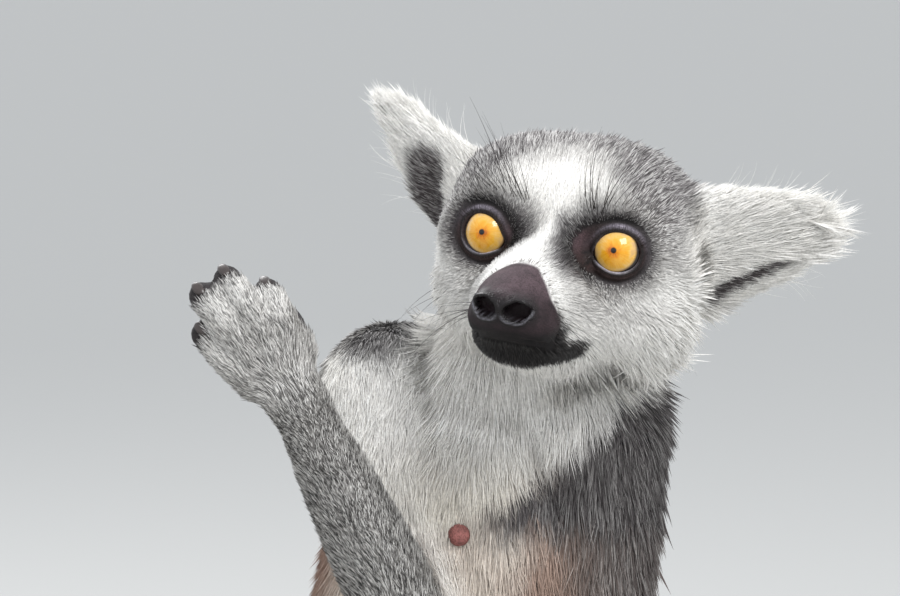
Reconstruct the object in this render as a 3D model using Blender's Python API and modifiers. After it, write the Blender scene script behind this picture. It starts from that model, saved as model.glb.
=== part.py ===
"""A ring-tailed lemur sitting upright, life size, as a still museum model.

It sits on its haunches with its right hand raised and its left hand on its knee. X is to the
animal's left, it faces -Y, and Z is up. The solids give the outline of the coat. Each mass of the
body is ellipsoids swept along the bones and fused to one skin; neighbours are carved apart by a
thin gap, and long masses are parted by thin flat cuts.
Run it with: blender --background --python part.py
"""

import math

import bmesh
import bpy
from mathutils import Matrix, Vector

MM = 0.001
GAP = 0.3 * MM  # between neighbouring solids

# voxel size of the fused skin, softening passes and triangles of each mass
TRUNK_GRAIN = (3.4 * MM, 14, 680)
ARM_GRAIN = (2.4 * MM, 4, 210)
THIGH_GRAIN = (3.0 * MM, 6, 190)
SHANK_GRAIN = (2.4 * MM, 4, 150)
TAIL_GRAIN = (3.2 * MM, 6, 600)
HEAD_GRAIN = (1.7 * MM, 4, 980)
EAR_GRAIN = (1.3 * MM, 3, 210)
HAND_GRAIN = (1.3 * MM, 3, 400)
FOOT_GRAIN = (1.3 * MM, 3, 370)

EYE_RADIUS = 8.4 * MM
EYE_SPREAD = 18.0  # mm from the middle of the head to each eye
EYE_SPLAY = math.radians(14)  # how far each eye looks outwards
LID_OPENING = 6.9 * MM

# what each piece's name starts with, then its colour and roughness
LOOKS = [
    ("eye", ((0.85, 0.45, 0.08), 0.12)),
    ("nose", ((0.05, 0.04, 0.045), 0.5)),
    ("lower_jaw", ((0.1, 0.09, 0.09), 0.8)),
    ("head", ((0.75, 0.74, 0.72), 0.9)),
    ("ear", ((0.86, 0.85, 0.82), 0.9)),
    ("neck", ((0.55, 0.54, 0.53), 0.9)),
    ("chest", ((0.5, 0.48, 0.46), 0.9)),
    ("abdomen", ((0.45, 0.41, 0.38), 0.9)),
    ("rump", ((0.36, 0.33, 0.31), 0.9)),
    ("tail", ((0.12, 0.12, 0.125), 0.9)),
    ("", ((0.32, 0.31, 0.3), 0.9)),
]


def mm(*values):
    """A point or a set of radii given in millimetres, as a vector in metres."""
    return Vector(values) * MM


# ---------------------------------------------------------------- the head's own frame

HEAD_ORIGIN = mm(25.3, -51.8, 355.0)  # midway between the eyeball centres
HEAD_YAW = math.radians(22)  # turned to the animal's right
HEAD_PITCH = math.radians(1)
HEAD_ROLL = math.radians(7.6)  # left side down


def turned(yaw, pitch=0.0, roll=0.0):
    """Axes left, back and up of something that faces -Y before it turns to its right."""
    yawed = Matrix.Rotation(-yaw, 3, "Z")
    return yawed @ Matrix.Rotation(-pitch, 3, "X") @ Matrix.Rotation(roll, 3, "Y")


HEAD_AXES = turned(HEAD_YAW, HEAD_PITCH, HEAD_ROLL)


def in_head(left, forward, up):
    """A point in the head's frame, in millimetres, as a world point in metres."""
    return HEAD_ORIGIN + HEAD_AXES @ mm(left, -forward, up)


# ---------------------------------------------------------------- the skeleton, in mm

NECK_TOP = (29, -17, 333)
NECK_BASE = (13, 4, 306)

TORSO_YAW = math.radians(30)
PELVIS_YAW = math.radians(20)

# centre, then half width, half depth and half height of the torso's sections
TORSO = [
    ((-6, 44, 39), (64, 56, 43)),
    ((-6, 36, 75), (68, 62, 36)),
    ((-7, 28, 118), (67, 61, 34)),
    ((-7, 25, 165), (61, 56, 34)),
    ((-4, 22, 212), (55, 51, 32)),
    ((2, 16, 254), (51, 46, 30)),
    ((7, 9, 288), (44, 38, 24)),
]
NECK = [
    (NECK_BASE, (36, 32, 22)),
    ((21, -5, 320), (35, 32, 20)),
    (NECK_TOP, (34, 32, 20)),
]

SHOULDER = {"right": (-24, 16, 305), "left": (37, -12, 299)}
ELBOW = {"right": (-16, -30, 233), "left": (37, 2, 212)}
WRIST = {"right": (-49.6, -60, 308), "left": (38, -66, 161)}
HIP = {"right": (-30, 50, 62), "left": (20, 32, 62)}
KNEE = {"right": (-108, -12, 132), "left": (42, -68, 132)}
ANKLE = {"right": (-107, 22, 20), "left": (56, -38, 20)}
TOE = {"right": (-150, -46, 5), "left": (43, -117, 5)}
SOLE_LEVEL = 6.0 * MM
ANKLE_CUT = 17.0 * MM
HAND_END = {"right": (-70, -62, 344.7), "left": (44, -107, 134)}
BACK_OF_HAND = {"right": (0.12, -1, 0.25), "left": (0.05, -0.5, 1)}

# radii from the near joint to the far one
UPPER_ARM_RADII = (26, 20.5, 15.5)
FOREARM_RADII = (15, 14.5, 9.5)
THIGH_RADII = (41, 37, 22)
SHANK_RADII = (20, 18, 11.5)

TAIL_START = (-2, 84, 40)
TAIL_LENGTH = 575
# heading of the tail at even steps along it, from straight back round to the animal's left
TAIL_HEADINGS = (80, 66, 18, -38, -74, -84, -88, -98, -118, -140)
TAIL_RADII = (26, 27, 26, 25, 24, 22, 15)
TAIL_SINK = 2.6  # how far the fur of the tail is pressed flat by the floor
TAIL_LENGTHS = 7

# the joints of each digit: along the hand, towards the thumb, and out of its back
HAND_DIGITS = [
    ((10, 7, -1), (21, 11.5, 1), (31.5, 13.5, -2)),
    ((18, 5.5, 1), (31, 7.5, 3.5), (41.5, 8.8, -1)),
    ((19, 0, 1.5), (32, 0, 5), (43, 0, -1)),
    ((17, -5.5, 1), (26, -7, 4), (33, -8.2, -1)),
    ((12, -7, -2), (18, -10, -6), (22, -11, -13)),
]
FOOT_DIGITS = [
    ((16, 9, -1), (28, 19, -1.5), (40, 27, -5.5)),
    ((38, 7, -1), (52, 9, -1), (63, 10, -6)),
    ((40, 2, -1), (56, 2, 0), (69, 1.5, -6)),
    ((39, -4, -1), (56, -6, 0), (71, -8, -6)),
    ((35, -9, -1.5), (48, -13, -2), (60, -17, -6)),
]
DIGIT_RADII = (5.0, 4.4, 4.0)
PALM = [((4, 0, 0), (10, 10, 6.5)), ((14, 0, 0), (11, 10, 6.5))]
SOLE = [((4, 0, 3), (9, 12, 8)), ((22, 1, 1), (10, 18, 7)), ((36, -1, 0), (13, 12, 6.5))]

# masses of the head: left, forward, up, then half width, half length and half height
CRANIUM = [((0, -29, 1.5), (35, 36, 30.5)), ((0, -14, 3), (33, 26, 27))]
FACE = [((0, 0, -10), (18, 14, 18)), ((0, 16, -12.5), (15.5, 14, 15))]
MUZZLE = [
    ((0, 16, -14), (16.5, 12, 14.5)),
    ((0, 29, -15.5), (14.5, 10, 12.5)),
    ((0, 38.5, -15.5), (10.5, 7, 8.5)),
]
JAW = [((0, 2, -27), (18, 18, 11)), ((0, 19, -27.5), (13.5, 11, 8)), ((0, 28, -28), (10.5, 7, 5.5))]
PAIRED_HEAD_MASSES = [
    ((17, -5, 12), (13, 14, 12)),  # brow
    ((19.5, -3.5, 0), (13.5, 12.5, 12.5)),  # rim of the eye socket
    ((26, -14, -9), (15, 20, 21)),  # cheek fluff
    ((22, -6, -20), (15, 17, 14)),  # jowl
    ((26, -22, -25), (15, 17, 14)),  # ruff under the cheek
    ((24, -34, -8), (12, 15, 22)),  # behind the cheek
]
# boxes in the head's frame that hold the nose and the lower jaw: centre, then full sizes
NOSE_BOX = ((0, 54, -4.5), (40, 40, 40))
JAW_BOX = ((0, 38, -45), (31, 60, 40))

# ear: root, middle and tip in the head's frame, then half widths and half thicknesses
EARS = {
    "right": ((-29, -27, 2), (-50, -28, 12), (-69, -29, 25)),
    "left": ((31, -27, 2), (53, -27, 7.5), (71, -29, 11)),
}
EAR_OPENS = {"right": (-0.35, 1, -0.25), "left": (0.25, 1, -0.45)}
EAR_WIDTHS = (20, 16.5, 7.5)
EAR_THICKNESS = (8, 5, 2.6)


# ---------------------------------------------------------------- shaping


def clear_scene():
    for obj in list(bpy.data.objects):
        bpy.data.objects.remove(obj, do_unlink=True)


def add_collection(name):
    made = bpy.data.collections.new(name)
    bpy.context.scene.collection.children.link(made)
    return made


def add_object(name, bm, home):
    mesh = bpy.data.meshes.new(name)
    bm.to_mesh(mesh)
    bm.free()
    obj = bpy.data.objects.new(name, mesh)
    home.objects.link(obj)
    return obj


def remove(obj):
    bpy.data.objects.remove(obj, do_unlink=True)


def add_mass(bm, centre, radii, axes=None):
    """One ellipsoid, with its radii along the given axes."""
    rotation = (axes or Matrix.Identity(3)).to_4x4()
    matrix = Matrix.Translation(centre) @ rotation @ Matrix.Diagonal((*radii, 1.0))
    bmesh.ops.create_uvsphere(bm, u_segments=20, v_segments=12, radius=1.0, matrix=matrix)


def blended(values, t):
    """The value at t, from 0 to 1, on a smooth curve through a list of vectors."""
    spans = len(values) - 1
    place = min(t * spans, spans - 1e-9)
    i = int(place)
    u = place - i
    a, b, c, d = (values[max(0, min(spans, i + k))] for k in (-1, 0, 1, 2))
    curve = 2 * b + (c - a) * u + (2 * a - 5 * b + 4 * c - d) * u**2
    return 0.5 * (curve + (3 * b - a - 3 * c + d) * u**3)


def sweep(bm, centres, radii, steps, axes=None):
    """Ellipsoids along a smooth path. Radii are vectors, one for each centre."""
    for k in range(steps + 1):
        t = k / steps
        add_mass(bm, blended(centres, t), blended(radii, t), axes)


def round_radii(values):
    return [mm(r, r, r) for r in values]


def limb(bm, start, end, radii, bow=(0, 0, 0)):
    """A round limb whose radius changes from joint to joint, bowed at its middle."""
    first, last = mm(*start), mm(*end)
    sweep(bm, [first, (first + last) / 2 + mm(*bow), last], round_radii(radii), 16)


def evaluated_mesh(obj):
    graph = bpy.context.evaluated_depsgraph_get()
    return bpy.data.meshes.new_from_object(obj.evaluated_get(graph))


def apply_modifiers(obj):
    obj.data = evaluated_mesh(obj)
    obj.modifiers.clear()


def fuse(bm, name, home, grain):
    """The masses as one smooth skin of about so many triangles."""
    voxel, smoothing, triangles = grain
    obj = add_object(name, bm, home)
    remesh = obj.modifiers.new("one_skin", "REMESH")
    remesh.mode = "VOXEL"
    remesh.voxel_size = voxel
    smooth = obj.modifiers.new("soften", "SMOOTH")
    smooth.factor = 0.5
    smooth.iterations = smoothing
    apply_modifiers(obj)
    decimate = obj.modifiers.new("facets", "DECIMATE")
    decimate.ratio = triangles / (2 * len(obj.data.polygons))
    decimate.use_collapse_triangulate = True
    relax = obj.modifiers.new("relax", "SMOOTH")
    relax.factor = 0.35
    relax.iterations = 2
    apply_modifiers(obj)
    return obj


def boolean(obj, other, operation="DIFFERENCE"):
    step = obj.modifiers.new("join", "BOOLEAN")
    step.operation = operation
    step.solver = "EXACT"
    step.object = other
    apply_modifiers(obj)


def copied(obj, name, home=None):
    made = obj.copy()
    made.data = obj.data.copy()
    made.name = name
    (home or obj.users_collection[0]).objects.link(made)
    return made


def cast_of(obj, cutters):
    """A copy of an uncut mass, larger by the gap, to carve its neighbours with."""
    cast = copied(obj, obj.name + "_cast", cutters)
    swell = cast.modifiers.new("gap", "DISPLACE")
    swell.strength = GAP
    swell.mid_level = 0.0
    apply_modifiers(cast)
    cast.hide_render = True
    cast.display_type = "WIRE"
    return cast


def carve(obj, *casts):
    for cast in casts:
        boolean(obj, cast)
    keep_largest(obj)


def islands(bm):
    """Groups of faces that hang together."""
    unseen = set(bm.faces)
    found = []
    while unseen:
        stack = [unseen.pop()]
        group = set(stack)
        while stack:
            for edge in stack.pop().edges:
                for face in edge.link_faces:
                    if face in unseen:
                        unseen.discard(face)
                        group.add(face)
                        stack.append(face)
        found.append(group)
    return sorted(found, key=len, reverse=True)


def keep_largest(obj):
    bm = bmesh.new()
    bm.from_mesh(obj.data)
    spare = [face for group in islands(bm)[1:] for face in group]
    bmesh.ops.delete(bm, geom=spare, context="FACES")
    bmesh.ops.dissolve_degenerate(bm, dist=0.00002, edges=bm.edges)
    bmesh.ops.triangulate(bm, faces=bm.faces)
    bm.to_mesh(obj.data)
    bm.free()


def facing(direction):
    """Axes whose Z runs along the direction."""
    return Vector(direction).normalized().to_track_quat("Z", "Y").to_matrix()


def box(name, centre, axes, size, home):
    """A box cutter, its size along the given axes."""
    bm = bmesh.new()
    matrix = Matrix.Translation(centre) @ axes.to_4x4() @ Matrix.Diagonal((*size, 1.0))
    bmesh.ops.create_cube(bm, size=1.0, matrix=matrix)
    cutter = add_object(name, bm, home)
    cutter.hide_render = True
    cutter.display_type = "WIRE"
    return cutter


def half_space(point, direction, home):
    """A box that covers everything beyond the point in that direction."""
    direction = Vector(direction).normalized()
    reach = 0.8
    return box("half", point + direction * reach / 2, facing(direction), (reach,) * 3, home)


def trim(obj, point, direction, home):
    cutter = half_space(point, direction, home)
    boolean(obj, cutter)
    remove(cutter)
    keep_largest(obj)


def part_at(obj, point, direction, name, home):
    """Splits the object flat at a point. What lies beyond it becomes a new object."""
    direction = Vector(direction).normalized()
    beyond = copied(obj, name)
    trim(beyond, point + direction * GAP / 2, -direction, home)
    trim(obj, point - direction * GAP / 2, direction, home)
    return beyond


def set_on_floor(obj, home):
    trim(obj, Vector((0, 0, 0)), (0, 0, -1), home)


# ---------------------------------------------------------------- the trunk, limbs and tail


def build_trunk(home, cutters):
    bm = bmesh.new()
    pelvis_axes = turned(PELVIS_YAW)
    torso_axes = turned(TORSO_YAW)
    sections = [(mm(*c), mm(*r)) for c, r in TORSO]
    lower, upper = sections[:4], sections[3:]
    sweep(bm, [c for c, _ in lower], [r for _, r in lower], 14, pelvis_axes)
    sweep(bm, [c for c, _ in upper], [r for _, r in upper], 14, torso_axes)
    sweep(bm, [mm(*c) for c, _ in NECK], [mm(*r) for _, r in NECK], 8, torso_axes)
    add_mass(bm, mm(-18, 28, 292), mm(26, 22, 30), torso_axes)  # right shoulder blade
    add_mass(bm, mm(30, 4, 280), mm(26, 24, 32), torso_axes)  # left shoulder blade
    rump = fuse(bm, "rump", home, TRUNK_GRAIN)
    cast = cast_of(rump, cutters)
    set_on_floor(rump, cutters)
    abdomen = part_at(rump, mm(-7, 27, 118), (0, -0.05, 1), "abdomen", cutters)
    chest = part_at(abdomen, mm(-4, 23, 205), (0.06, -0.08, 1), "chest", cutters)
    rise = mm(*NECK_TOP) - mm(*NECK_BASE)
    part_at(chest, mm(*NECK_BASE) + rise * 0.25, rise, "neck", cutters)
    return cast


def build_arm(side, trunk, home, cutters):
    bm = bmesh.new()
    limb(bm, SHOULDER[side], ELBOW[side], UPPER_ARM_RADII)
    limb(bm, ELBOW[side], WRIST[side], FOREARM_RADII)
    upper = fuse(bm, "upper_arm_" + side, home, ARM_GRAIN)
    cast = cast_of(upper, cutters)
    carve(upper, trunk)
    shoulder, elbow, wrist = (mm(*joint[side]) for joint in (SHOULDER, ELBOW, WRIST))
    plane = (elbow - shoulder).normalized() + (wrist - elbow).normalized()
    name = "forearm_" + side
    fore = part_at(upper, elbow, plane, name, cutters)
    trim(fore, wrist - (wrist - elbow).normalized() * GAP / 2, wrist - elbow, cutters)
    return cast


def build_leg(side, trunk, home, cutters):
    bm = bmesh.new()
    limb(bm, HIP[side], KNEE[side], THIGH_RADII, bow=(0, 0, 4))
    thigh = fuse(bm, "thigh_" + side, home, THIGH_GRAIN)
    thigh_cast = cast_of(thigh, cutters)
    carve(thigh, trunk)
    bm = bmesh.new()
    limb(bm, KNEE[side], ANKLE[side], SHANK_RADII)
    shank = fuse(bm, "shank_" + side, home, SHANK_GRAIN)
    shank_cast = cast_of(shank, cutters)
    carve(shank, thigh_cast, trunk)
    return shank, (thigh_cast, shank_cast)


def tail_path():
    """Points of the tail: down from the rump, then a curl along the floor."""
    steps = 46
    stride = TAIL_LENGTH / steps
    place = Vector(TAIL_START)
    points = [place * MM]
    for k in range(steps):
        heading = math.radians(blended([Vector((h, 0, 0)) for h in TAIL_HEADINGS], k / steps).x)
        rest = blended(round_radii(TAIL_RADII), k / steps).x / MM - TAIL_SINK
        drop = (rest - place.z) * 0.3
        place = place + Vector((math.cos(heading) * stride, math.sin(heading) * stride, drop))
        points.append(place * MM)
    return points


def build_tail(trunk, home, cutters):
    bm = bmesh.new()
    path = tail_path()
    sweep(bm, path, [blended(round_radii(TAIL_RADII), k / 46) for k in range(47)], 110)
    rest = fuse(bm, "tail_1", home, TAIL_GRAIN)
    set_on_floor(rest, cutters)
    carve(rest, trunk)
    for k in range(1, TAIL_LENGTHS):
        i = round(k * (len(path) - 1) / TAIL_LENGTHS)
        rest = local_part(rest, path[i], path[i + 1] - path[i - 1], f"tail_{k + 1}", cutters)


def local_part(obj, point, direction, name, home):
    """Splits a curling object with a thin slab that reaches no further than the curl's far side."""
    slab = box("slab", point, facing(direction), (80 * MM, 80 * MM, GAP), home)
    boolean(obj, slab)
    remove(slab)
    beyond = copied(obj, name)
    far_end = point + Vector(direction).normalized() * 8 * MM
    for piece, wanted in ((obj, False), (beyond, True)):
        keep_side(piece, far_end, wanted)
    return beyond


def keep_side(obj, point, holds_point):
    """Keeps the body that lies around the point, or the others."""
    bm = bmesh.new()
    bm.from_mesh(obj.data)
    groups = islands(bm)
    nearest = min(groups, key=lambda group: sum_distance(group, point))
    spare = [face for group in groups if (group is nearest) != holds_point for face in group]
    bmesh.ops.delete(bm, geom=spare, context="FACES")
    bmesh.ops.triangulate(bm, faces=bm.faces)
    bm.to_mesh(obj.data)
    bm.free()


def sum_distance(group, point):
    near = sorted((face.calc_center_median() - point).length for face in group)[:12]
    return sum(near) / len(near)


# ---------------------------------------------------------------- hands and feet


def build_paw(name, side, wrist, end, back, digits, palm, joint, grain, home):
    """A hand or foot: palm or sole, five digits, and the ball of its joint with the limb."""
    along = (end - wrist).normalized()
    mirror = 1 if side == "left" else -1
    across = along.cross(Vector(back)).normalized() * mirror
    normal = Vector(back) - along * Vector(back).dot(along)
    normal.normalize()
    axes = Matrix((across, along, normal)).transposed()
    bm = bmesh.new()
    for place, radii in palm:
        add_mass(bm, wrist + axes @ mm(place[1], place[0], place[2]), mm(*radii), axes)
    for joints in digits:
        centres = [wrist + axes @ mm(c, a, n) for a, c, n in joints]
        sweep(bm, centres, round_radii(DIGIT_RADII), 10)
    centre, radius = joint
    sweep(bm, [wrist, centre], round_radii((radius * 0.9, radius)), 3, axes)
    return fuse(bm, name, home, grain)


def build_hand(side, knee, home, cutters):
    wrist, elbow = mm(*WRIST[side]), mm(*ELBOW[side])
    end = mm(*HAND_END[side])
    back = BACK_OF_HAND[side]
    joint = (wrist, 9.8)
    name = "hand_" + side
    hand = build_paw(name, side, wrist, end, back, HAND_DIGITS, PALM, joint, HAND_GRAIN, home)
    reach = (wrist - elbow).normalized()
    trim(hand, wrist + reach * GAP / 2, -reach, cutters)
    carve(hand, *knee)


def build_foot(side, shank, home, cutters):
    ankle, toe = mm(*ANKLE[side]), mm(*TOE[side])
    start = Vector((ankle.x, ankle.y, SOLE_LEVEL))
    end = Vector((toe.x, toe.y, SOLE_LEVEL))
    joint = (ankle, SHANK_RADII[-1])
    name = "foot_" + side
    foot = build_paw(name, side, start, end, (0, 0, 1), FOOT_DIGITS, SOLE, joint, FOOT_GRAIN, home)
    set_on_floor(foot, cutters)
    split = Vector((0, 0, ANKLE_CUT))
    trim(foot, split - Vector((0, 0, GAP / 2)), (0, 0, 1), cutters)
    trim(shank, split + Vector((0, 0, GAP / 2)), (0, 0, -1), cutters)


# ---------------------------------------------------------------- head


def build_head(neighbours, home, cutters):
    bm = bmesh.new()
    for masses in (CRANIUM, FACE, MUZZLE, JAW):
        sweep(bm, [in_head(*c) for c, _ in masses], [mm(*r) for _, r in masses], 8, HEAD_AXES)
    for (left, forward, up), radii in PAIRED_HEAD_MASSES:
        for side in (-1, 1):
            add_mass(bm, in_head(side * left, forward, up), mm(*radii), HEAD_AXES)
    head = fuse(bm, "head", home, HEAD_GRAIN)
    cast = cast_of(head, cutters)
    carve(head, *neighbours)
    for side, sign in (("right", -1), ("left", 1)):
        centre = in_head(sign * EYE_SPREAD, 0, 0)
        gaze = HEAD_AXES @ Vector((sign * math.sin(EYE_SPLAY), -math.cos(EYE_SPLAY), 0))
        opening = bmesh.new()
        matrix = Matrix.Translation(centre + gaze * 15 * MM) @ facing(gaze).to_4x4()
        bmesh.ops.create_cone(
            opening, cap_ends=True, segments=20, radius1=LID_OPENING * 0.86,
            radius2=LID_OPENING * 1.35, depth=30 * MM, matrix=matrix,
        )
        cutter = add_object("lid_opening", opening, cutters)
        boolean(head, cutter)
        remove(cutter)
        ball = bmesh.new()
        matrix = Matrix.Translation(centre) @ facing(gaze).to_4x4()
        bmesh.ops.create_uvsphere(
            ball, u_segments=16, v_segments=10, radius=EYE_RADIUS, matrix=matrix,
        )
        eye = add_object("eye_" + side, ball, home)
        carve(head, cast_of(eye, cutters))
    split_box(head, "nose", NOSE_BOX, cutters)
    split_box(head, "lower_jaw", JAW_BOX, cutters)
    return cast


def split_box(obj, name, bounds, cutters):
    """Takes what lies in a box out of the object, as an object of its own."""
    centre = in_head(*bounds[0])
    inner = box("inner", centre, HEAD_AXES, [s * MM - GAP for s in bounds[1]], cutters)
    outer = box("outer", centre, HEAD_AXES, [s * MM + GAP for s in bounds[1]], cutters)
    piece = copied(obj, name)
    boolean(piece, inner, "INTERSECT")
    boolean(obj, outer)
    remove(inner)
    remove(outer)
    keep_largest(piece)
    keep_largest(obj)
    return piece


def build_ear(side, head, home, cutters):
    """A thin cupped leaf that stands out from the head, hollow to the front."""
    points = [in_head(*point) for point in EARS[side]]
    along = (points[2] - points[0]).normalized()
    opens = HEAD_AXES @ Vector((EAR_OPENS[side][0], -EAR_OPENS[side][1], EAR_OPENS[side][2]))
    opens = (opens - along * opens.dot(along)).normalized()
    across = along.cross(opens)
    axes = Matrix((across, opens, along)).transposed()
    bm = bmesh.new()
    radii = [mm(w, t, 7) for w, t in zip(EAR_WIDTHS, EAR_THICKNESS)]
    sweep(bm, points, radii, 14, axes)
    ear = fuse(bm, "ear_" + side, home, EAR_GRAIN)
    hollow = bmesh.new()
    centre = points[0].lerp(points[2], 0.45) + opens * 7.5 * MM
    add_mass(hollow, centre, mm(10, 7.5, 20), axes)
    cutter = add_object("concha", hollow, cutters)
    boolean(ear, cutter)
    remove(cutter)
    carve(ear, head)


def material(name, colour, roughness):
    made = bpy.data.materials.new(name)
    made.use_nodes = True
    shader = made.node_tree.nodes["Principled BSDF"]
    shader.inputs["Base Color"].default_value = (*colour, 1.0)
    shader.inputs["Roughness"].default_value = roughness
    return made


def finish(home):
    """Smooth shading, and one material for each piece."""
    for obj in home.objects:
        colour, roughness = next(look for start, look in LOOKS if obj.name.startswith(start))
        obj.data.materials.clear()
        obj.data.materials.append(material(obj.name + "_material", colour, roughness))
        obj.data.shade_smooth()
        obj.data.set_sharp_from_angle(angle=math.radians(55))


def centre_on_floor(home):
    """Moves the meshes so that the middle of the whole footprint is the origin."""
    corners = [vertex.co for obj in home.objects for vertex in obj.data.vertices]
    middle = [(min(c[i] for c in corners) + max(c[i] for c in corners)) / 2 for i in (0, 1)]
    move = Matrix.Translation((-middle[0], -middle[1], 0))
    for obj in home.objects:
        obj.data.transform(move)


def main():
    clear_scene()
    home = add_collection("ring_tailed_lemur")
    cutters = add_collection("cutters")
    trunk = build_trunk(home, cutters)
    build_tail(trunk, home, cutters)
    arms = [build_arm(side, trunk, home, cutters) for side in ("right", "left")]
    for side in ("right", "left"):
        shank, knee = build_leg(side, trunk, home, cutters)
        build_foot(side, shank, home, cutters)
        build_hand(side, knee, home, cutters)
    head = build_head((trunk, *arms), home, cutters)
    for side in ("right", "left"):
        build_ear(side, head, home, cutters)
    finish(home)
    centre_on_floor(home)


main()
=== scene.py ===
import math
import time

import bmesh
import bpy
import numpy as np
from mathutils import Matrix, Vector
from mathutils.bvhtree import BVHTree


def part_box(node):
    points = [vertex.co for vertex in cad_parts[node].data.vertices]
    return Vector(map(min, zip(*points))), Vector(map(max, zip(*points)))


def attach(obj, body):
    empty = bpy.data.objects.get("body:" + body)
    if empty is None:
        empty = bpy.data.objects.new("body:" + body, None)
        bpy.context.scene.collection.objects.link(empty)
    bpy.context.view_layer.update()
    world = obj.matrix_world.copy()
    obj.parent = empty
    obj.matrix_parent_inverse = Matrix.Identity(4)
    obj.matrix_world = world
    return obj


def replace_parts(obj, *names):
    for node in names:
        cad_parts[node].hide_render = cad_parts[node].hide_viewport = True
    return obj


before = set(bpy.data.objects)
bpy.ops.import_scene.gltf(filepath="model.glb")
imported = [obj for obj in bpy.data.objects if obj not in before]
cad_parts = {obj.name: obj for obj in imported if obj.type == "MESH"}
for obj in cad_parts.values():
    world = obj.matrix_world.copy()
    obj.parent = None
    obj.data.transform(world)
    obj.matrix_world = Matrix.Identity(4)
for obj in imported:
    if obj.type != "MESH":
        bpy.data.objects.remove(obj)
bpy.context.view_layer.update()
started = time.time()


def report(stage):
    print(f"{time.time() - started:6.1f} s  {stage}", flush=True)


# Shapes are worked out in millimetres on the animal's own skeleton, whose
# origin is not the frame's. The eyes give the shift between the two.
build = {
    "headAt": (25.3, -51.8, 355.0),  # midway between the eyeballs
    "headTurn": (22.0, 1.0, 7.6),  # to its right, nose up, left side down
    "torsoTurn": 30.0,
    "pelvisTurn": 20.0,
    "eyeRadius": 8.4,
    "eyeAt": {1: (18.2, 0, 0), -1: (-21.0, 0, -1.5)},  # left and right, in the head
    "eyeSplay": 14.0,
    "gaze": {1: (7.5, 4.5), -1: (1.0, 4.5)},  # degrees outward and up
}


def turned(yaw, pitch=0.0, roll=0.0):
    spin = Matrix.Rotation(math.radians(-yaw), 3, "Z") @ Matrix.Rotation(math.radians(-pitch), 3, "X")
    return np.array(spin @ Matrix.Rotation(math.radians(roll), 3, "Y"))


headAt = np.array(build["headAt"])
headAxes = turned(*build["headTurn"])  # columns: left, back, up
torsoAxes = turned(build["torsoTurn"])
pelvisAxes = turned(build["pelvisTurn"])
eyeBoxes = [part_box("eye_" + side) for side in ("left", "right")]
eyesMiddle = sum((np.array(lo) + np.array(hi) for lo, hi in eyeBoxes), np.zeros(3)) / 4 * 1000
shift = eyesMiddle - headAt
flip = np.array((1.0, -1.0, 1.0))  # the head's points are written left, forward, up


def headWay(ways):
    # directions of the head, turned with it
    return (np.asarray(ways, float) * flip) @ headAxes.T


def fromHead(points):
    return headAt + headWay(points)


def toHead(points):
    return ((points - headAt) @ headAxes) * flip


def eyeFrame(sign):
    splay = math.radians(build["eyeSplay"])
    ahead = np.array((sign * math.sin(splay), math.cos(splay), 0))
    outward = np.array((sign * math.cos(splay), -math.sin(splay), 0))
    return np.array(build["eyeAt"][sign], float), outward, np.array((0, 0, 1.0)), ahead


def unit(v):
    return v / np.maximum(np.linalg.norm(v, axis=-1, keepdims=True), 1e-9)


def squared(v, way):
    # v made square to a unit vector
    return unit(v - way * way.dot(v))


def smooth(low, high, x):
    t = np.clip((np.asarray(x, float) - low) / (high - low), 0, 1)
    return t * t * (3 - 2 * t)


def bell(x, width):
    return np.exp(-((np.asarray(x) / width) ** 2))


def along(values, t):
    # the value at t, 0 to 1, on a smooth curve through the rows
    values = np.asarray(values, float)
    spans = len(values) - 1
    place = np.clip(np.asarray(t, float) * spans, 0, spans - 1e-9)
    i = place.astype(int)
    u = (place - i)[..., None] if values.ndim > 1 else place - i
    a, b, c, d = (values[np.clip(i + k, 0, spans)] for k in (-1, 0, 1, 2))
    return 0.5 * (2 * b + (c - a) * u + (2 * a - 5 * b + 4 * c - d) * u**2 + (3 * b - a - 3 * c + d) * u**3)


# The skeleton, and the radii of the bare body on it.

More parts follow.
